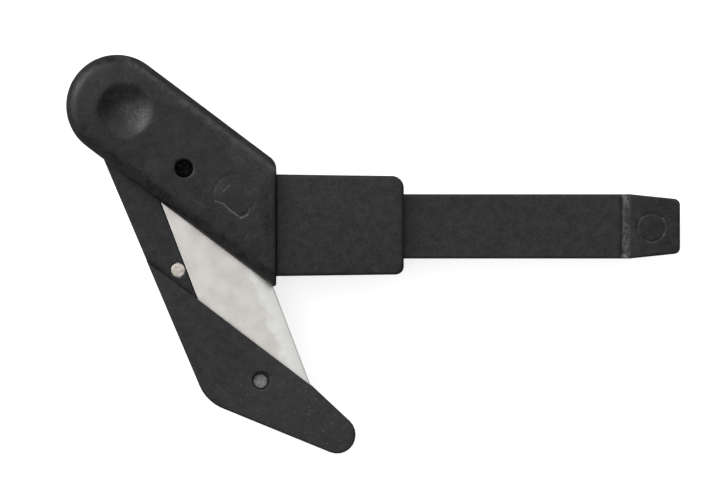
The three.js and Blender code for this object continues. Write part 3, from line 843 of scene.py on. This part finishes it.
# %% Materials: small steel parts
RUBBED_GAIN = 1.25
GLOSS_SPREAD = 0.14


def make_small_steel(name, bright, dull, gloss):
    material, tree, shader, place = new_material(name)
    blotch = spread(tree, noise(tree, place, 0.5, 5), 0.36, 0.66)
    fine = noise(tree, place, 0.08, 3)
    edge_wear_and_sheen = placed(tree, EDGE_WEAR_AND_SHEEN, place, Radius=0.12 * MM, Breakup=3000.0)
    colour = mixed(tree, blotch, (*bright, 1), (*dull, 1))
    pale_edge = tuple(RUBBED_GAIN * v for v in bright)
    colour = mixed(tree, times(tree, edge_wear_and_sheen["Mask"], 0.6), colour, (*pale_edge, 1))
    tree.links.new(colour, shader.inputs["Base Color"])
    shader.inputs["Metallic"].default_value = 1.0
    tree.links.new(spread(tree, blotch, 0.0, 1.0, gloss, gloss + GLOSS_SPREAD), shader.inputs["Roughness"])
    bumped(tree, shader, maths(tree, "ADD", fine, blotch), edge_wear_and_sheen["Normal"], 0.006)
    return material


PIN_STEEL = make_small_steel("pin steel", (0.74, 0.70, 0.63), (0.57, 0.53, 0.47), 0.42)
# the rivet's dull grey is painted shade of its recess
SHADED_RIVET_STEEL = make_small_steel("rivet steel with painted shade", (0.30, 0.305, 0.30), (0.2, 0.205, 0.2), 0.5)
# near black: oil-blackened, and painted shade of the deep hole
BLACKENED_AND_SHADED_STEEL = make_small_steel("blackened steel with painted shade", (0.011, 0.011, 0.011), (0.006, 0.006, 0.006), 0.5)
SPRING_STEEL = make_small_steel("spring steel", (0.40, 0.41, 0.43), (0.27, 0.28, 0.30), 0.28)
print("materials made:", PIN_STEEL.name, SHADED_RIVET_STEEL.name, BLACKENED_AND_SHADED_STEEL.name, SPRING_STEEL.name)

# %% [markdown]
# ## The grip covers
# Two mirror-image shells clamp the hook between them and make the smooth oval end that sits in the
# palm. Their outer edge has a generous round, but the side towards the shank is cut off crisply. So
# the rings of this piece are not simply drawn in: the face stays where it is until the rounding, which
# belongs to a slightly longer bar, reaches it.

# %% Cover rings
RIM_STEPS = 14
END_STEPS = 56
EDGE_STEPS = 24
PARTING = 0.1
LEAST_ROUND = 0.05


def head_ring(inset, face_x, z):
    """The head's bar seen from above, drawn in by inset, with its square face at face_x."""
    half = HEAD_WIDTH / 2 - inset
    face = (Vector((face_x, 0)), 90)
    low = meet(shifted(HEAD_AXIS, -half), face)
    high = meet(shifted(HEAD_AXIS, half), face)
    radius = max(HEAD_FACE_ROUND - inset, LEAST_ROUND)
    side = HEAD_AXIS[1] + 90
    points = arc(HEAD_END, half, side, side + 180, END_STEPS)
    start = points[-1]
    tip = corner(start, low, high, HEAD_TIP_ROUND)
    points += [start.lerp(tip[0], i / EDGE_STEPS) for i in range(1, EDGE_STEPS)] + tip
    points += corner(low, high, points[0], radius)
    last = points[-1]
    points += [last.lerp(points[0], i / EDGE_STEPS) for i in range(1, EDGE_STEPS)]
    return [p.to_3d() + Vector((0, 0, z)) for p in points]


def cover_rings():
    longer = HEAD_FACE_X - HEAD_FACE_EASE + HEAD_EDGE_ROUND
    rings = [head_ring(PARTING, HEAD_FACE_X - PARTING, 0), head_ring(0, HEAD_FACE_X, PARTING)]
    for inset, z in upper_rim(HEAD_EDGE_ROUND, HEAD_HALF, RIM_STEPS):
        rings.append(head_ring(inset, min(HEAD_FACE_X, longer - inset), z))
    return rings


print("rings in a cover:", len(cover_rings()), "of", len(head_ring(0, HEAD_FACE_X, 0)), "points")

# %% [markdown]
# The face of a cover carries the thumb dimple and, near the shank, the faint round witness mark of an
# ejector pin. Both are pressed into the face as real relief. The dimple is part of a ball, and a soft
# maximum with the face melts its rim, which a Boolean with a ball would leave sharp. The face itself is
# slightly crowned and falls away a little towards its lower edge, so no part of it mirrors evenly.

# %% Cover face relief
DIMPLE = Vector((-8.45, 8.35))
DIMPLE_RADIUS = 3.9
DIMPLE_DEPTH = 1.25
DIMPLE_SOFTNESS = 0.05
WITNESS = Vector((7.2, -3.9))
WITNESS_RADIUS = 3.05
WITNESS_WIDTH = 0.16
WITNESS_DEPTH = 0.07
CROWN = 0.7
LOWER_FALL = 0.4


def soft_positive(value, softness):
    return softness * math.log1p(math.exp(value / softness))


def groove(distance, width, depth):
    return depth * math.exp(-((distance / width) ** 2))


def from_axis(x, y):
    """How far a point is from the head's long axis, or from the centre of its round end."""
    local = Vector((x, y)) - HEAD_END
    along = local.dot(direction(HEAD_AXIS[1]))
    return local.length if along < 0 else abs(local.cross(direction(HEAD_AXIS[1])))


def lower_fall(x, y):
    """How far the lower half of the face falls away, so that a finger can pull on it."""
    below = (Vector((x, y)) - HEAD_END).dot(direction(HEAD_AXIS[1] - 90))
    return LOWER_FALL * max(0, 2 * below / HEAD_WIDTH) ** 2


def cover_relief(x, y):
    """How far the cover's face lies below its highest plane."""
    ball = (DIMPLE_RADIUS**2 + DIMPLE_DEPTH**2) / (2 * DIMPLE_DEPTH)
    away = (Vector((x, y)) - DIMPLE).length
    sunk = math.sqrt(max(ball**2 - away**2, 0)) - (ball - DIMPLE_DEPTH)
    ring = (Vector((x, y)) - WITNESS).length - WITNESS_RADIUS
    crown = CROWN * (2 * from_axis(x, y) / HEAD_WIDTH) ** 3 + lower_fall(x, y)
    return soft_positive(sunk, DIMPLE_SOFTNESS) + groove(ring, WITNESS_WIDTH, WITNESS_DEPTH) + crown


def target(centre, radii, steps):
    """Points on circles round a centre."""
    return [p for radius in radii for p in arc(centre, radius, 0, 360, steps)[:-1]]


def lattice(low, high, pitch, keep):
    """Points of a square lattice, where keep says so."""
    across = int((high[0] - low[0]) / pitch)
    up = int((high[1] - low[1]) / pitch)
    columns = [low[0] + i * pitch for i in range(across + 1)]
    rows = [low[1] + j * pitch for j in range(up + 1)]
    return [p for p in (Vector((x, y)) for x in columns for y in rows) if keep(p)]


def cover_inner_points():
    """Rings of points in the dimple and at the witness mark, and a plain lattice elsewhere."""
    dimple_pitch, dimple_rings, dimple_steps = 0.3, 17, 72
    witness_pitch, witness_half, witness_steps = 0.08, 5, 96
    dimple = target(DIMPLE, [dimple_pitch * i for i in range(1, dimple_rings + 1)], dimple_steps)
    bands = [WITNESS_RADIUS + witness_pitch * i for i in range(-witness_half, witness_half + 1)]
    witness = target(WITNESS, bands, witness_steps)

    def clear(p):
        near_ring = abs((p - WITNESS).length - WITNESS_RADIUS) < witness_pitch * witness_half + 0.1
        return (p - DIMPLE).length > dimple_pitch * dimple_rings + 0.2 and not near_ring

    return [DIMPLE] + dimple + witness + lattice((-17, -12), (13, 16), 0.9, clear)


print("points inside a cover's face:", len(cover_inner_points()))

# %% [markdown]
# Inside, each cover is cored out for the blade carrier, for the swing of the fork and for the washers.
# The shapes of those pockets come from the fork itself: the pocket is the fork's outline, opened by
# the angle that the joint allows, so the looks and the motion can't drift apart.

# %% Cover pockets
REACH = 60
EYE_RADIUS = 3.4
EYE_STEPS = 40
BLOCK_START_X = 13.4
BLOCK_START_WIDTH = 14.6
SHANK_Y = -8.1
FORK_STEP = 0.5
SWING = joints["head_swivel"]["range_deg"][1]
SPINE_ROOT = 2.4
CAVITY_HALF = 2.65
SPRING_POCKET = 3.1
PIVOT_RADIUS = 1.08
HOLE_RADIUS = 1.34
HOLE_DEPTH = 1.4
HOLE_LIP = 0.14
COVER_PIN_RADIUS = 1.0
COVER_PIN_HALF = 2.6
ORIGIN = Vector((0, 0))


def tangent_angle(point, side):
    """The direction of the line that touches the swivel eye and passes through a point."""
    lean = math.degrees(math.asin(EYE_RADIUS / point.length))
    return math.degrees(math.atan2(point.y, point.x)) - side * lean


FORK_TOP = Vector((BLOCK_START_X, SHANK_Y + BLOCK_START_WIDTH / 2 - FORK_STEP))
FORK_BOTTOM = meet(shifted(HEAD_LOWER, FORK_WALL + SIDE_GAP), (Vector((BLOCK_START_X, 0)), 90))
TOP_ANGLE = tangent_angle(FORK_TOP, 1)
BOTTOM_ANGLE = tangent_angle(FORK_BOTTOM, -1)


def swing_outline():
    radius = EYE_RADIUS + SIDE_GAP
    top_angle = TOP_ANGLE + SWING
    eye = arc(ORIGIN, radius, top_angle + 90, BOTTOM_ANGLE + 270, EYE_STEPS)
    return eye + [eye[-1] + REACH * direction(BOTTOM_ANGLE), eye[0] + REACH * direction(top_angle)]


def blade_outline(clearance):
    length, lower_corner, end_angle = 40.2, 9.5, 69.2
    edge, back = shifted(CUTTING_EDGE, clearance), shifted(BACK_EDGE, -clearance)
    point, angle = CUTTING_EDGE
    lower = (point + (lower_corner + clearance) * direction(angle), angle - 180 + end_angle)
    upper = (point + (lower_corner - length - clearance) * direction(angle), angle - end_angle)
    return [meet(edge, lower), meet(edge, upper), meet(back, upper), meet(back, lower)]


def spine_outline(clearance):
    left, right = shifted(SPINE_EDGE, -clearance), shifted(BACK_EDGE, clearance)
    top, bottom = shifted(HEAD_LOWER, SPINE_ROOT), shifted(HEAD_LOWER, -1)
    return [meet(left, top), meet(left, bottom), meet(right, bottom), meet(right, top)]


def root_outline(inset):
    ring = head_ring(FORK_WALL - SIDE_GAP + inset, HEAD_FACE_X - FORK_WALL + SIDE_GAP - inset, 0)
    return [p.to_2d() for p in ring]


def cover_tools(front):
    """The cutters of a cover's inside, each starting at a depth of its own so that no two share a plane."""
    depth = (-1 - step / 10 for step in range(REACH))
    tools = [
        prism(root_outline(0), next(depth), CARRIER_HALF),
        prism(spine_outline(SIDE_GAP), next(depth), CARRIER_HALF),
        prism(swing_outline(), next(depth), CAVITY_HALF),
        bore(ORIGIN, PIVOT_RADIUS + RUN, next(depth), HEAD_HALF + 1),
        sunk_hole(ORIGIN, HOLE_RADIUS, HEAD_HALF - HOLE_DEPTH, HEAD_HALF, HOLE_LIP),
    ]
    tools += [bore(p, COVER_PIN_RADIUS + RUN, next(depth), COVER_PIN_HALF + RUN) for p in COVER_PINS]
    if front:
        tools.append(prism(blade_outline(SIDE_GAP), next(depth), CARRIER_HALF))
    else:
        tools.append(bore(ORIGIN, EYE_RADIUS, next(depth), SPRING_POCKET))
    return tools


def turned_over(piece):
    """Mirrors a piece to the rear side."""
    piece.data.transform(Matrix.Scale(-1, 4, (0, 0, 1)))
    piece.data.flip_normals()


def cover_shell(name, node_name, front):
    rings = cover_rings()
    for ring in rings:
        for p in ring:
            p.z -= cover_relief(p.x, p.y) if p.z > HEAD_HALF / 2 else 0

    def height(x, y):
        return HEAD_HALF - cover_relief(x, y)

    shell = stacked(name, rings, cover_inner_points(), height)
    cut(shell, *cover_tools(front))
    if not front:
        turned_over(shell)
    settle(shell, [node_name], GRIP_NYLON, "head")


cover_shell("front_grip_shell", "front_cover", True)
cover_shell("rear_grip_shell", "rear_cover", False)

# %% [markdown]
# ## The hook
# Between the covers runs the carrier, a flat nylon plate whose spine shows beside the blade. Below the
# blade it widens into the nose, and two more plates close the sandwich there. The three share most of
# their outline, so it is drawn once from the lines of the spine, the nose and the mouth.

# %% Hook outlines
NOSE_TIP_RADIUS = 2.65
NOSE_HEEL_RADIUS = 6.1
NOSE_KINK_RADIUS = 8.0


def nose_corners():
    """The corners that the nose plate and the whole hook share, from the heel to the kink."""
    return [
        (meet(SPINE_EDGE, NOSE_UNDER), NOSE_HEEL_RADIUS),
        (meet(NOSE_UNDER, NOSE_FRONT), NOSE_TIP_RADIUS),
        (meet(NOSE_FRONT, MOUTH_EDGE), NOSE_KINK_RADIUS),
    ]


def nose_outline():
    return outline([(meet(SPINE_EDGE, MOUTH_EDGE), 0)] + nose_corners())


def hook_outline(top):
    """The nose and the spine in one, as far up as a line across the spine."""
    upper = [(meet(MOUTH_EDGE, BACK_EDGE), 0), (meet(BACK_EDGE, top), 0)]
    return outline([(meet(SPINE_EDGE, top), 0)] + nose_corners() + upper)


print("points round the nose:", len(nose_outline()))

# %% [markdown]
# ### The carrier
# The carrier reaches up between the covers as a narrower copy of their bar, which the hook's spine
# joins. It could be drawn as one long outline, but a union of the two shapes follows the covers when
# they change. A shallow bed for the blade is then cut into its front, with the holes for the pins.

# %% Blade carrier
EDGE_BREAK = 0.07
BREAK_STEPS = 2
BUSH_RADIUS = 1.6
BLADE_FIT = 0.1
NOSE_PIN_RADIUS = 0.98


def blade_carrier():
    section = rim(EDGE_BREAK, -CARRIER_HALF, CARRIER_HALF, BREAK_STEPS)
    carrier = plate("carrier_plate", hook_outline(shifted(HEAD_LOWER, SPINE_ROOT)), section)
    fused(carrier, plate("tool", root_outline(SIDE_GAP), section))
    pins = [bore(p, COVER_PIN_RADIUS + RUN, -REACH, REACH) for p in COVER_PINS + (BACK_PIN,)]
    cut(
        carrier,
        prism(blade_outline(BLADE_FIT), BLADE_FLOOR, CARRIER_HALF + 1),
        bore(ORIGIN, BUSH_RADIUS + RUN, -REACH, REACH),
        bore(NOSE_PIN, NOSE_PIN_RADIUS + RUN, -REACH, REACH),
        *pins,
    )
    settle(carrier, ["blade_carrier"], FRAME_NYLON, "head")


blade_carrier()

# %% [markdown]
# ### The nose and the back of the hook
# Two plates close the sandwich: the front one ends at the mouth, and the rear one runs on up the
# spine. They share one function, since both are rounded on the outside and flat where they meet the
# carrier. The mouth of the rivet's recess stands a little off the rivet, as a loose core would leave it.

# %% Nose plates
NOSE_EDGE_ROUND = 0.35
FLAT_BREAK = 0.05
NOSE_HOLE_RADIUS = 1.3
NOSE_HOLE_DEPTH = 0.9
NOSE_HOLE_LIP = 0.12
NOSE_HOLE = NOSE_PIN + Vector((0.16, 0.14))


def sandwich_plate(name, edge):
    """A plate from the carrier's face to the nose's face, rounded on the outside only."""
    flat_side = [(FLAT_BREAK, CARRIER_HALF), (0, CARRIER_HALF + FLAT_BREAK)]
    made = plate(name, edge, flat_side + upper_rim(NOSE_EDGE_ROUND, NOSE_HALF))
    cut(
        made,
        bore(NOSE_PIN, NOSE_PIN_RADIUS + RUN, 0, REACH),
        sunk_hole(NOSE_HOLE, NOSE_HOLE_RADIUS, NOSE_HALF - NOSE_HOLE_DEPTH, NOSE_HALF, NOSE_HOLE_LIP),
    )
    return made


nose_plate = sandwich_plate("nose_plate", nose_outline())
settle(nose_plate, ["front_nose_plate"], FRAME_NYLON, "head")

back_plate = sandwich_plate("hook_back_plate", hook_outline(shifted(HEAD_LOWER, -SIDE_GAP)))
turned_over(back_plate)
cut(back_plate, bore(BACK_PIN, COVER_PIN_RADIUS + RUN, -REACH, REACH))
settle(back_plate, ["rear_hook_plate"], FRAME_NYLON, "head")

# %% [markdown]
# ## The blade
# A utility blade is one strip with a ground bevel on both sides. It is lofted along its cutting edge:
# the same section at every station, but each point of the section runs between the two slanting ends,
# so the bevel runs out at the corners just as it does when the strip is snapped off at an angle.

# %% Trapezoid blade
BLADE_THICK = 0.6
EDGE_THICK = 0.02
HONED_DEPTH = 0.12
HONED_THICK = 0.09
BACK_BREAK = 0.04
BLADE_STATIONS = 40


def blade_section():
    """Half of the blade's section, as (distance from the edge, height above its middle)."""
    flat = BLADE_THICK / 2
    return [
        (0, EDGE_THICK / 2),
        (HONED_DEPTH, HONED_THICK / 2),
        (BEVEL_WIDTH, flat),
        (BLADE_WIDTH - BACK_BREAK, flat),
        (BLADE_WIDTH, flat - BACK_BREAK),
    ]


def trapezoid_blade():
    low_edge, high_edge, high_back, low_back = blade_outline(0)
    middle = BLADE_FLOOR + BLADE_THICK / 2
    section = blade_section()
    section += [(depth, -z) for depth, z in reversed(section)]
    rings = []
    for station in range(BLADE_STATIONS + 1):
        ring = []
        for depth, z in section:
            low = low_edge.lerp(low_back, depth / BLADE_WIDTH)
            high = high_edge.lerp(high_back, depth / BLADE_WIDTH)
            ring.append(low.lerp(high, station / BLADE_STATIONS).to_3d() + Vector((0, 0, middle + z)))
        rings.append(ring)
    made = stacked("trapezoid_blade", rings)
    holes = ((ORIGIN, BUSH_RADIUS), (NOSE_PIN, NOSE_PIN_RADIUS))
    cut(made, *[bore(centre, radius + RUN, -REACH, REACH) for centre, radius in holes])
    settle(made, ["blade"], BLADE_STEEL, "head")


trapezoid_blade()

# %% [markdown]
# ## Pins
# Each pin is a cropped and tumbled wire end: a short chamfer and a face that is barely domed. The dome
# matters, because it lets the end catch the light unevenly instead of shining as one flat disc.

# %% Pins
SNUG = 0.05  # how much of the running clearance a shown pin fills
STOP_SNUG = 0.03
NOSE_PIN_HALF = 1.75
PIVOT_PIN_HALF = 3.9
PIN_CHAMFER = 0.06
PIN_DOME = 0.03
DOME_STEPS = ((1.0, 0.0), (0.8, 0.35), (0.55, 0.7), (0.25, 0.95))


def wire_pin(name, node_name, centre, radius, ends, material):
    """A pin between two heights, with a chamfer and a slight dome at each end."""
    low, high = ends
    face = radius - PIN_CHAMFER
    top = [(radius, high - PIN_CHAMFER - PIN_DOME)]
    top += [(face * r, high - PIN_DOME + PIN_DOME * z) for r, z in DOME_STEPS]
    bottom = [(r, low + high - z) for r, z in reversed(top)]
    settle(turned(name, centre, bottom + top), [node_name], material, "head")


nose_ends = (-NOSE_PIN_HALF, NOSE_PIN_HALF)
stop_ends = (-NOSE_HALF, CARRIER_HALF)
pivot_ends = (-PIVOT_PIN_HALF, PIVOT_PIN_HALF)
stop_radius = COVER_PIN_RADIUS + STOP_SNUG
wire_pin("nose_rivet", "nose_pin", NOSE_PIN, NOSE_PIN_RADIUS + SNUG, nose_ends, SHADED_RIVET_STEEL)
wire_pin("blade_stop_pin", "blade_back_pin", BACK_PIN, stop_radius, stop_ends, PIN_STEEL)
wire_pin("swivel_pin", "pivot_pin", ORIGIN, PIVOT_RADIUS + SNUG, pivot_ends, BLACKENED_AND_SHADED_STEEL)

# %% [markdown]
# ## The shank
# The shoulder block and the forked eye are one moulding. The block's long edges are lightly rounded,
# and a hairline round its middle shows where the mould closed. The line is a shallow groove here, so
# that the block keeps its true size.

# %% Shoulder block and fork
BLOCK_END_X = 31.45
BLOCK_END_WIDTH = 14.1
BLOCK_HALF = 3.2
BLOCK_ROUND = 0.5
EAR_INNER = 1.0
EAR_OUTER = 2.3
EAR_BREAK = 0.12
PARTING_HALF = 0.06
PARTING_DEPTH = 0.04
HAIR = 0.01
CRISP = 0.2  # the rounding that is left on the block's edge at the head
FACE_PLAY = 0.26  # how much nearer the block stands to the head than its collision solid


def parted(section):
    """A rim's section with the mould's parting line as a fine groove round its middle."""
    half = len(section) // 2
    line = [(0, -PARTING_HALF), (PARTING_DEPTH, 0), (0, PARTING_HALF)]
    return section[:half] + line + section[half:]


def block_outline():
    def at(x, half):
        return Vector((x, SHANK_Y + half))

    return outline([
        (at(BLOCK_START_X, BLOCK_START_WIDTH / 2), 0.3),
        (at(BLOCK_START_X, -BLOCK_START_WIDTH / 2), 0.3),
        (at(BLOCK_END_X, -BLOCK_END_WIDTH / 2), 1.2),
        (at(BLOCK_END_X, BLOCK_END_WIDTH / 2), 1.7),
    ])


def ear_outline():
    deep = BLOCK_START_X + 1
    eye = arc(ORIGIN, EYE_RADIUS, TOP_ANGLE + 90, BOTTOM_ANGLE + 270, EYE_STEPS)
    return eye + [FORK_BOTTOM, Vector((deep, FORK_BOTTOM.y)), Vector((deep, FORK_TOP.y)), FORK_TOP]


def block_rings():
    """The block's rings, which are rounded everywhere but on the side that meets the head."""
    rings = []
    for inset, z in parted(rim(BLOCK_ROUND, -BLOCK_HALF, BLOCK_HALF)):
        ring = [p.to_3d() + Vector((0, 0, z)) for p in drawn_in(block_outline(), inset)]
        for p in ring:
            past = p.x - BLOCK_START_X
            if past < BLOCK_ROUND + HAIR:
                p.x -= (1 - CRISP) * past + FACE_PLAY
        rings.append(ring)
    return rings


def forked_shank():
    made = stacked("forked_shank", block_rings())
    ear = EAR_OUTER - EAR_INNER
    sections = [rim(EAR_BREAK, low, low + ear, 3) for low in (EAR_INNER, -EAR_OUTER)]
    fused(made, *[plate("tool", ear_outline(), section) for section in sections])
    cut(made, bore(ORIGIN, PIVOT_RADIUS + RUN, -REACH, REACH))
    settle(made, ["swivel_shank"], FRAME_NYLON, "shank")


forked_shank()

# %% [markdown]
# ## The tongue
# The tongue is a flat spring with a raised catch near its end. It bends when the catch is pressed, but
# here it is one fixed mesh. The catch is a ramp, a short level stretch and a long lead-in towards the
# tip, with the round mark of an ejector pin on it.

# %% Tongue shape
TONGUE_Y = -8.25
TONGUE_WIDTH = 9.25
TONGUE_HALF = 1.5
TONGUE_ROUND = 0.3
TONGUE_END_X = 71.05
TONGUE_END_WIDTH = 7.75
CATCH_START_X = 62.9
CATCH_TOP_X = 63.75
CATCH_FLAT_END_X = 65.25
CATCH_TOP = 3.0
CATCH_END_TOP = 2.35
EJECTOR = Vector((66.9, -8.43))
EJECTOR_RADIUS = 2.0
MARK_WIDTH = 0.12
MARK_DEPTH = 0.1
FOOT_WIDTH = 0.12
FOOT_DEPTH = 0.14
CATCH_BLUR = 0.09
TIP_ROUND = 0.9
EDGE_PITCH = 0.14


def between(x, x0, x1, z0, z1):
    return z0 + (z1 - z0) * min(max((x - x0) / (x1 - x0), 0), 1)


def tongue_top(x, y):
    """The height of the tongue's front face, with the corners of the catch slightly softened."""
    steps = (-1, -0.5, 0, 0.5, 1)
    total = 0
    for step in steps:
        near = x + step * CATCH_BLUR
        rise = between(near, CATCH_START_X, CATCH_TOP_X, TONGUE_HALF, CATCH_TOP)
        total += rise - between(near, CATCH_FLAT_END_X, TONGUE_END_X, 0, CATCH_TOP - CATCH_END_TOP)
    mark = groove((Vector((x, y)) - EJECTOR).length - EJECTOR_RADIUS, MARK_WIDTH, MARK_DEPTH)
    foot = groove(x - CATCH_START_X + FOOT_WIDTH, FOOT_WIDTH, FOOT_DEPTH)
    return total / len(steps) - mark - foot


def stepped(start, end, pitch):
    """Points from start up to end, without end itself, about a pitch apart."""
    steps = max(1, round((end - start).length / pitch))
    return [start.lerp(end, i / steps) for i in range(steps)]


def tongue_outline():
    def at(x, half):
        return Vector((x, TONGUE_Y + half))

    root = BLOCK_END_X - 1
    corners = outline([
        (at(root, TONGUE_WIDTH / 2), 0),
        (at(root, -TONGUE_WIDTH / 2), 0),
        (at(CATCH_TOP_X, -TONGUE_WIDTH / 2), 0),
        (at(TONGUE_END_X, -TONGUE_END_WIDTH / 2), TIP_ROUND),
        (at(TONGUE_END_X, TONGUE_END_WIDTH / 2), TIP_ROUND),
        (at(CATCH_TOP_X, TONGUE_WIDTH / 2), 0),
    ])
    points = []
    for i, point in enumerate(corners):
        points += stepped(point, corners[(i + 1) % len(corners)], EDGE_PITCH)
    return points


def tongue_inner_points():
    """Fine points on the catch's ramp, coarse ones elsewhere, and rings round the ejector mark."""
    mark_reach = EJECTOR_RADIUS + 0.5

    def strip(low, high, pitch):
        return lattice(low, high, pitch, lambda p: (p - EJECTOR).length > mark_reach)

    rings = [0.5, 1.0, 1.4] + [EJECTOR_RADIUS - 0.4 + 0.06 * i for i in range(14)]
    points = strip((62.5, -12.6), (66.0, -3.9), EDGE_PITCH)
    points += strip((31, -12.4), (62.3, -4), 0.8)
    points += strip((66.1, -12.0), (70.6, -4.4), 0.4)
    return points + [EJECTOR] + target(EJECTOR, rings, 72)


def spring_tongue():
    rings = []
    edge = tongue_outline()
    for inset, z in parted(rim(TONGUE_ROUND, -TONGUE_HALF, TONGUE_HALF)):
        ring = [p.to_3d() + Vector((0, 0, z)) for p in drawn_in(edge, inset)]
        for p in ring:
            p.z += tongue_top(p.x, p.y) - TONGUE_HALF if z > TONGUE_HALF / 2 else 0
        rings.append(ring)
    made = stacked("spring_tongue", rings, tongue_inner_points(), tongue_top)
    settle(made, ["latch_tongue"], FRAME_NYLON)
    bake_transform(made)


spring_tongue()

# %% [markdown]
# ## Hidden hardware
# The bush, the washers and the two cover pins lie inside the head and already have the right shape in
# the CAD model. They keep their meshes and only get real finishes in their material slots.

# %% Finishes for the CAD nodes that stay
FINISHES = {
    SPRING_STEEL: ("front_thrust_washer", "rear_thrust_washer", "wave_washer"),
    PIN_STEEL: ("pivot_bush", "cover_pin_end", "cover_pin_middle"),
}
for finish, names in FINISHES.items():
    for name in names:
        for slot in frame["nodes"][name].material_slots:
            slot.material = finish
print("CAD nodes refinished:", sum(len(names) for names in FINISHES.values()))

# %% [markdown]
# ## Studio
# The knife lies flat on a pale sheet and is seen straight from above through a long lens, which keeps
# the outline free of perspective. The sheet glows only for the camera: if it lit the knife from below
# as well, the dark rims on the side away from the light would be lost.

# %% Floor
FLOOR_HALF = 3.0
FLOOR_DROP = 0.00002  # keeps the sheet clear of the knife's lowest faces


def studio_floor():
    corners = [(x * FLOOR_HALF, y * FLOOR_HALF, 0) for x, y in ((-1, -1), (1, -1), (1, 1), (-1, 1))]
    floor = new_piece("studio_floor", corners, [[0, 1, 2, 3]])
    floor.location.z = -FLOOR_DROP
    material, tree, shader, place = new_material("pale sheet")
    tree.nodes.remove(shader)
    cloud = noise(tree, place, 200, 2)
    tint = mixed(tree, cloud, (0.72, 0.72, 0.72, 1), (0.76, 0.76, 0.76, 1))
    seen = node(tree, "LightPath").outputs["Is Camera Ray"]
    dim = node(tree, "BsdfDiffuse", {"Color": (0.26, 0.26, 0.26, 1)})
    sheet = node(tree, "BsdfDiffuse", {"Color": tint})
    glow = node(tree, "Emission", {"Color": (1, 1, 1, 1), "Strength": 0.76})
    lit = node(tree, "AddShader", {0: sheet.outputs[0], 1: glow.outputs[0]})
    both = node(tree, "MixShader", {0: seen, 1: dim.outputs[0], 2: lit.outputs[0]})
    output = next(n for n in tree.nodes if n.type == "OUTPUT_MATERIAL")
    tree.links.new(both.outputs[0], output.inputs["Surface"])
    floor.data.materials.append(material)


studio_floor()

# %% [markdown]
# ### Lights
# Dark nylon shows its shape only by what it mirrors, so large soft boxes work here and small lamps do
# not. A wide one overhead gives every face its tone, a strong one on the upper left edges the rims, and
# two low walls stretch that light along the left and the top. A weak one in front keeps the lower rims
# from going black.

# %% Lights and surroundings
def soft_box(name, place, width, height, radiance):
    """An area light that faces the knife, set by how bright it looks."""
    light = bpy.data.lights.new(name, "AREA")
    light.shape = "RECTANGLE"
    light.size = width
    light.size_y = height
    light.energy = math.pi * width * height * radiance
    lamp = bpy.data.objects.new(name, light)
    lamp.location = place
    lamp.rotation_euler = (-Vector(place)).to_track_quat("-Z", "Y").to_euler()
    bpy.context.scene.collection.objects.link(lamp)


soft_box("overhead_box", (-0.34, 0.42, 1.2), 2.3, 2.0, 0.74)
soft_box("upper_left_box", (-0.8, 0.62, 0.5), 0.85, 0.7, 3.5)
soft_box("left_wall", (-1.15, 0.12, 0.34), 1.2, 0.55, 2.1)
soft_box("upper_wall", (0.6, 0.95, 0.4), 1.0, 0.6, 2.0)
soft_box("front_fill", (0.1, -1.15, 0.3), 1.4, 0.5, 0.3)
world = bpy.data.worlds.new("studio")
world.use_nodes = True
world.node_tree.nodes["Background"].inputs["Color"].default_value = (0.95, 0.97, 1.0, 1)
world.node_tree.nodes["Background"].inputs["Strength"].default_value = 0.2
bpy.context.scene.world = world
bpy.context.scene.view_settings.view_transform = "Standard"

# %% [markdown]
# ### The camera
# An orthographic camera would give the same outline, but the walls of the holes and the pockets would
# not show at all. A long lens keeps a trace of them, and its height follows from the width it must see.

# %% Camera
VIEW_WIDTH = 0.10357
VIEW_CENTRE = Vector((-0.00152, 0.0006))
FOCAL_MM = 300
SENSOR_MM = 36
CLIP_END = 10


def overhead_camera():
    data = bpy.data.cameras.new("overhead")
    data.lens = FOCAL_MM
    data.sensor_width = SENSOR_MM
    data.clip_end = CLIP_END
    camera = bpy.data.objects.new("overhead", data)
    reach = VIEW_WIDTH * FOCAL_MM / SENSOR_MM
    camera.location = (*VIEW_CENTRE, cad_high.z + reach)
    bpy.context.scene.collection.objects.link(camera)
    bpy.context.scene.camera = camera
    return camera


camera = overhead_camera()
print("camera height in mm:", round(1000 * camera.location.z, 1))
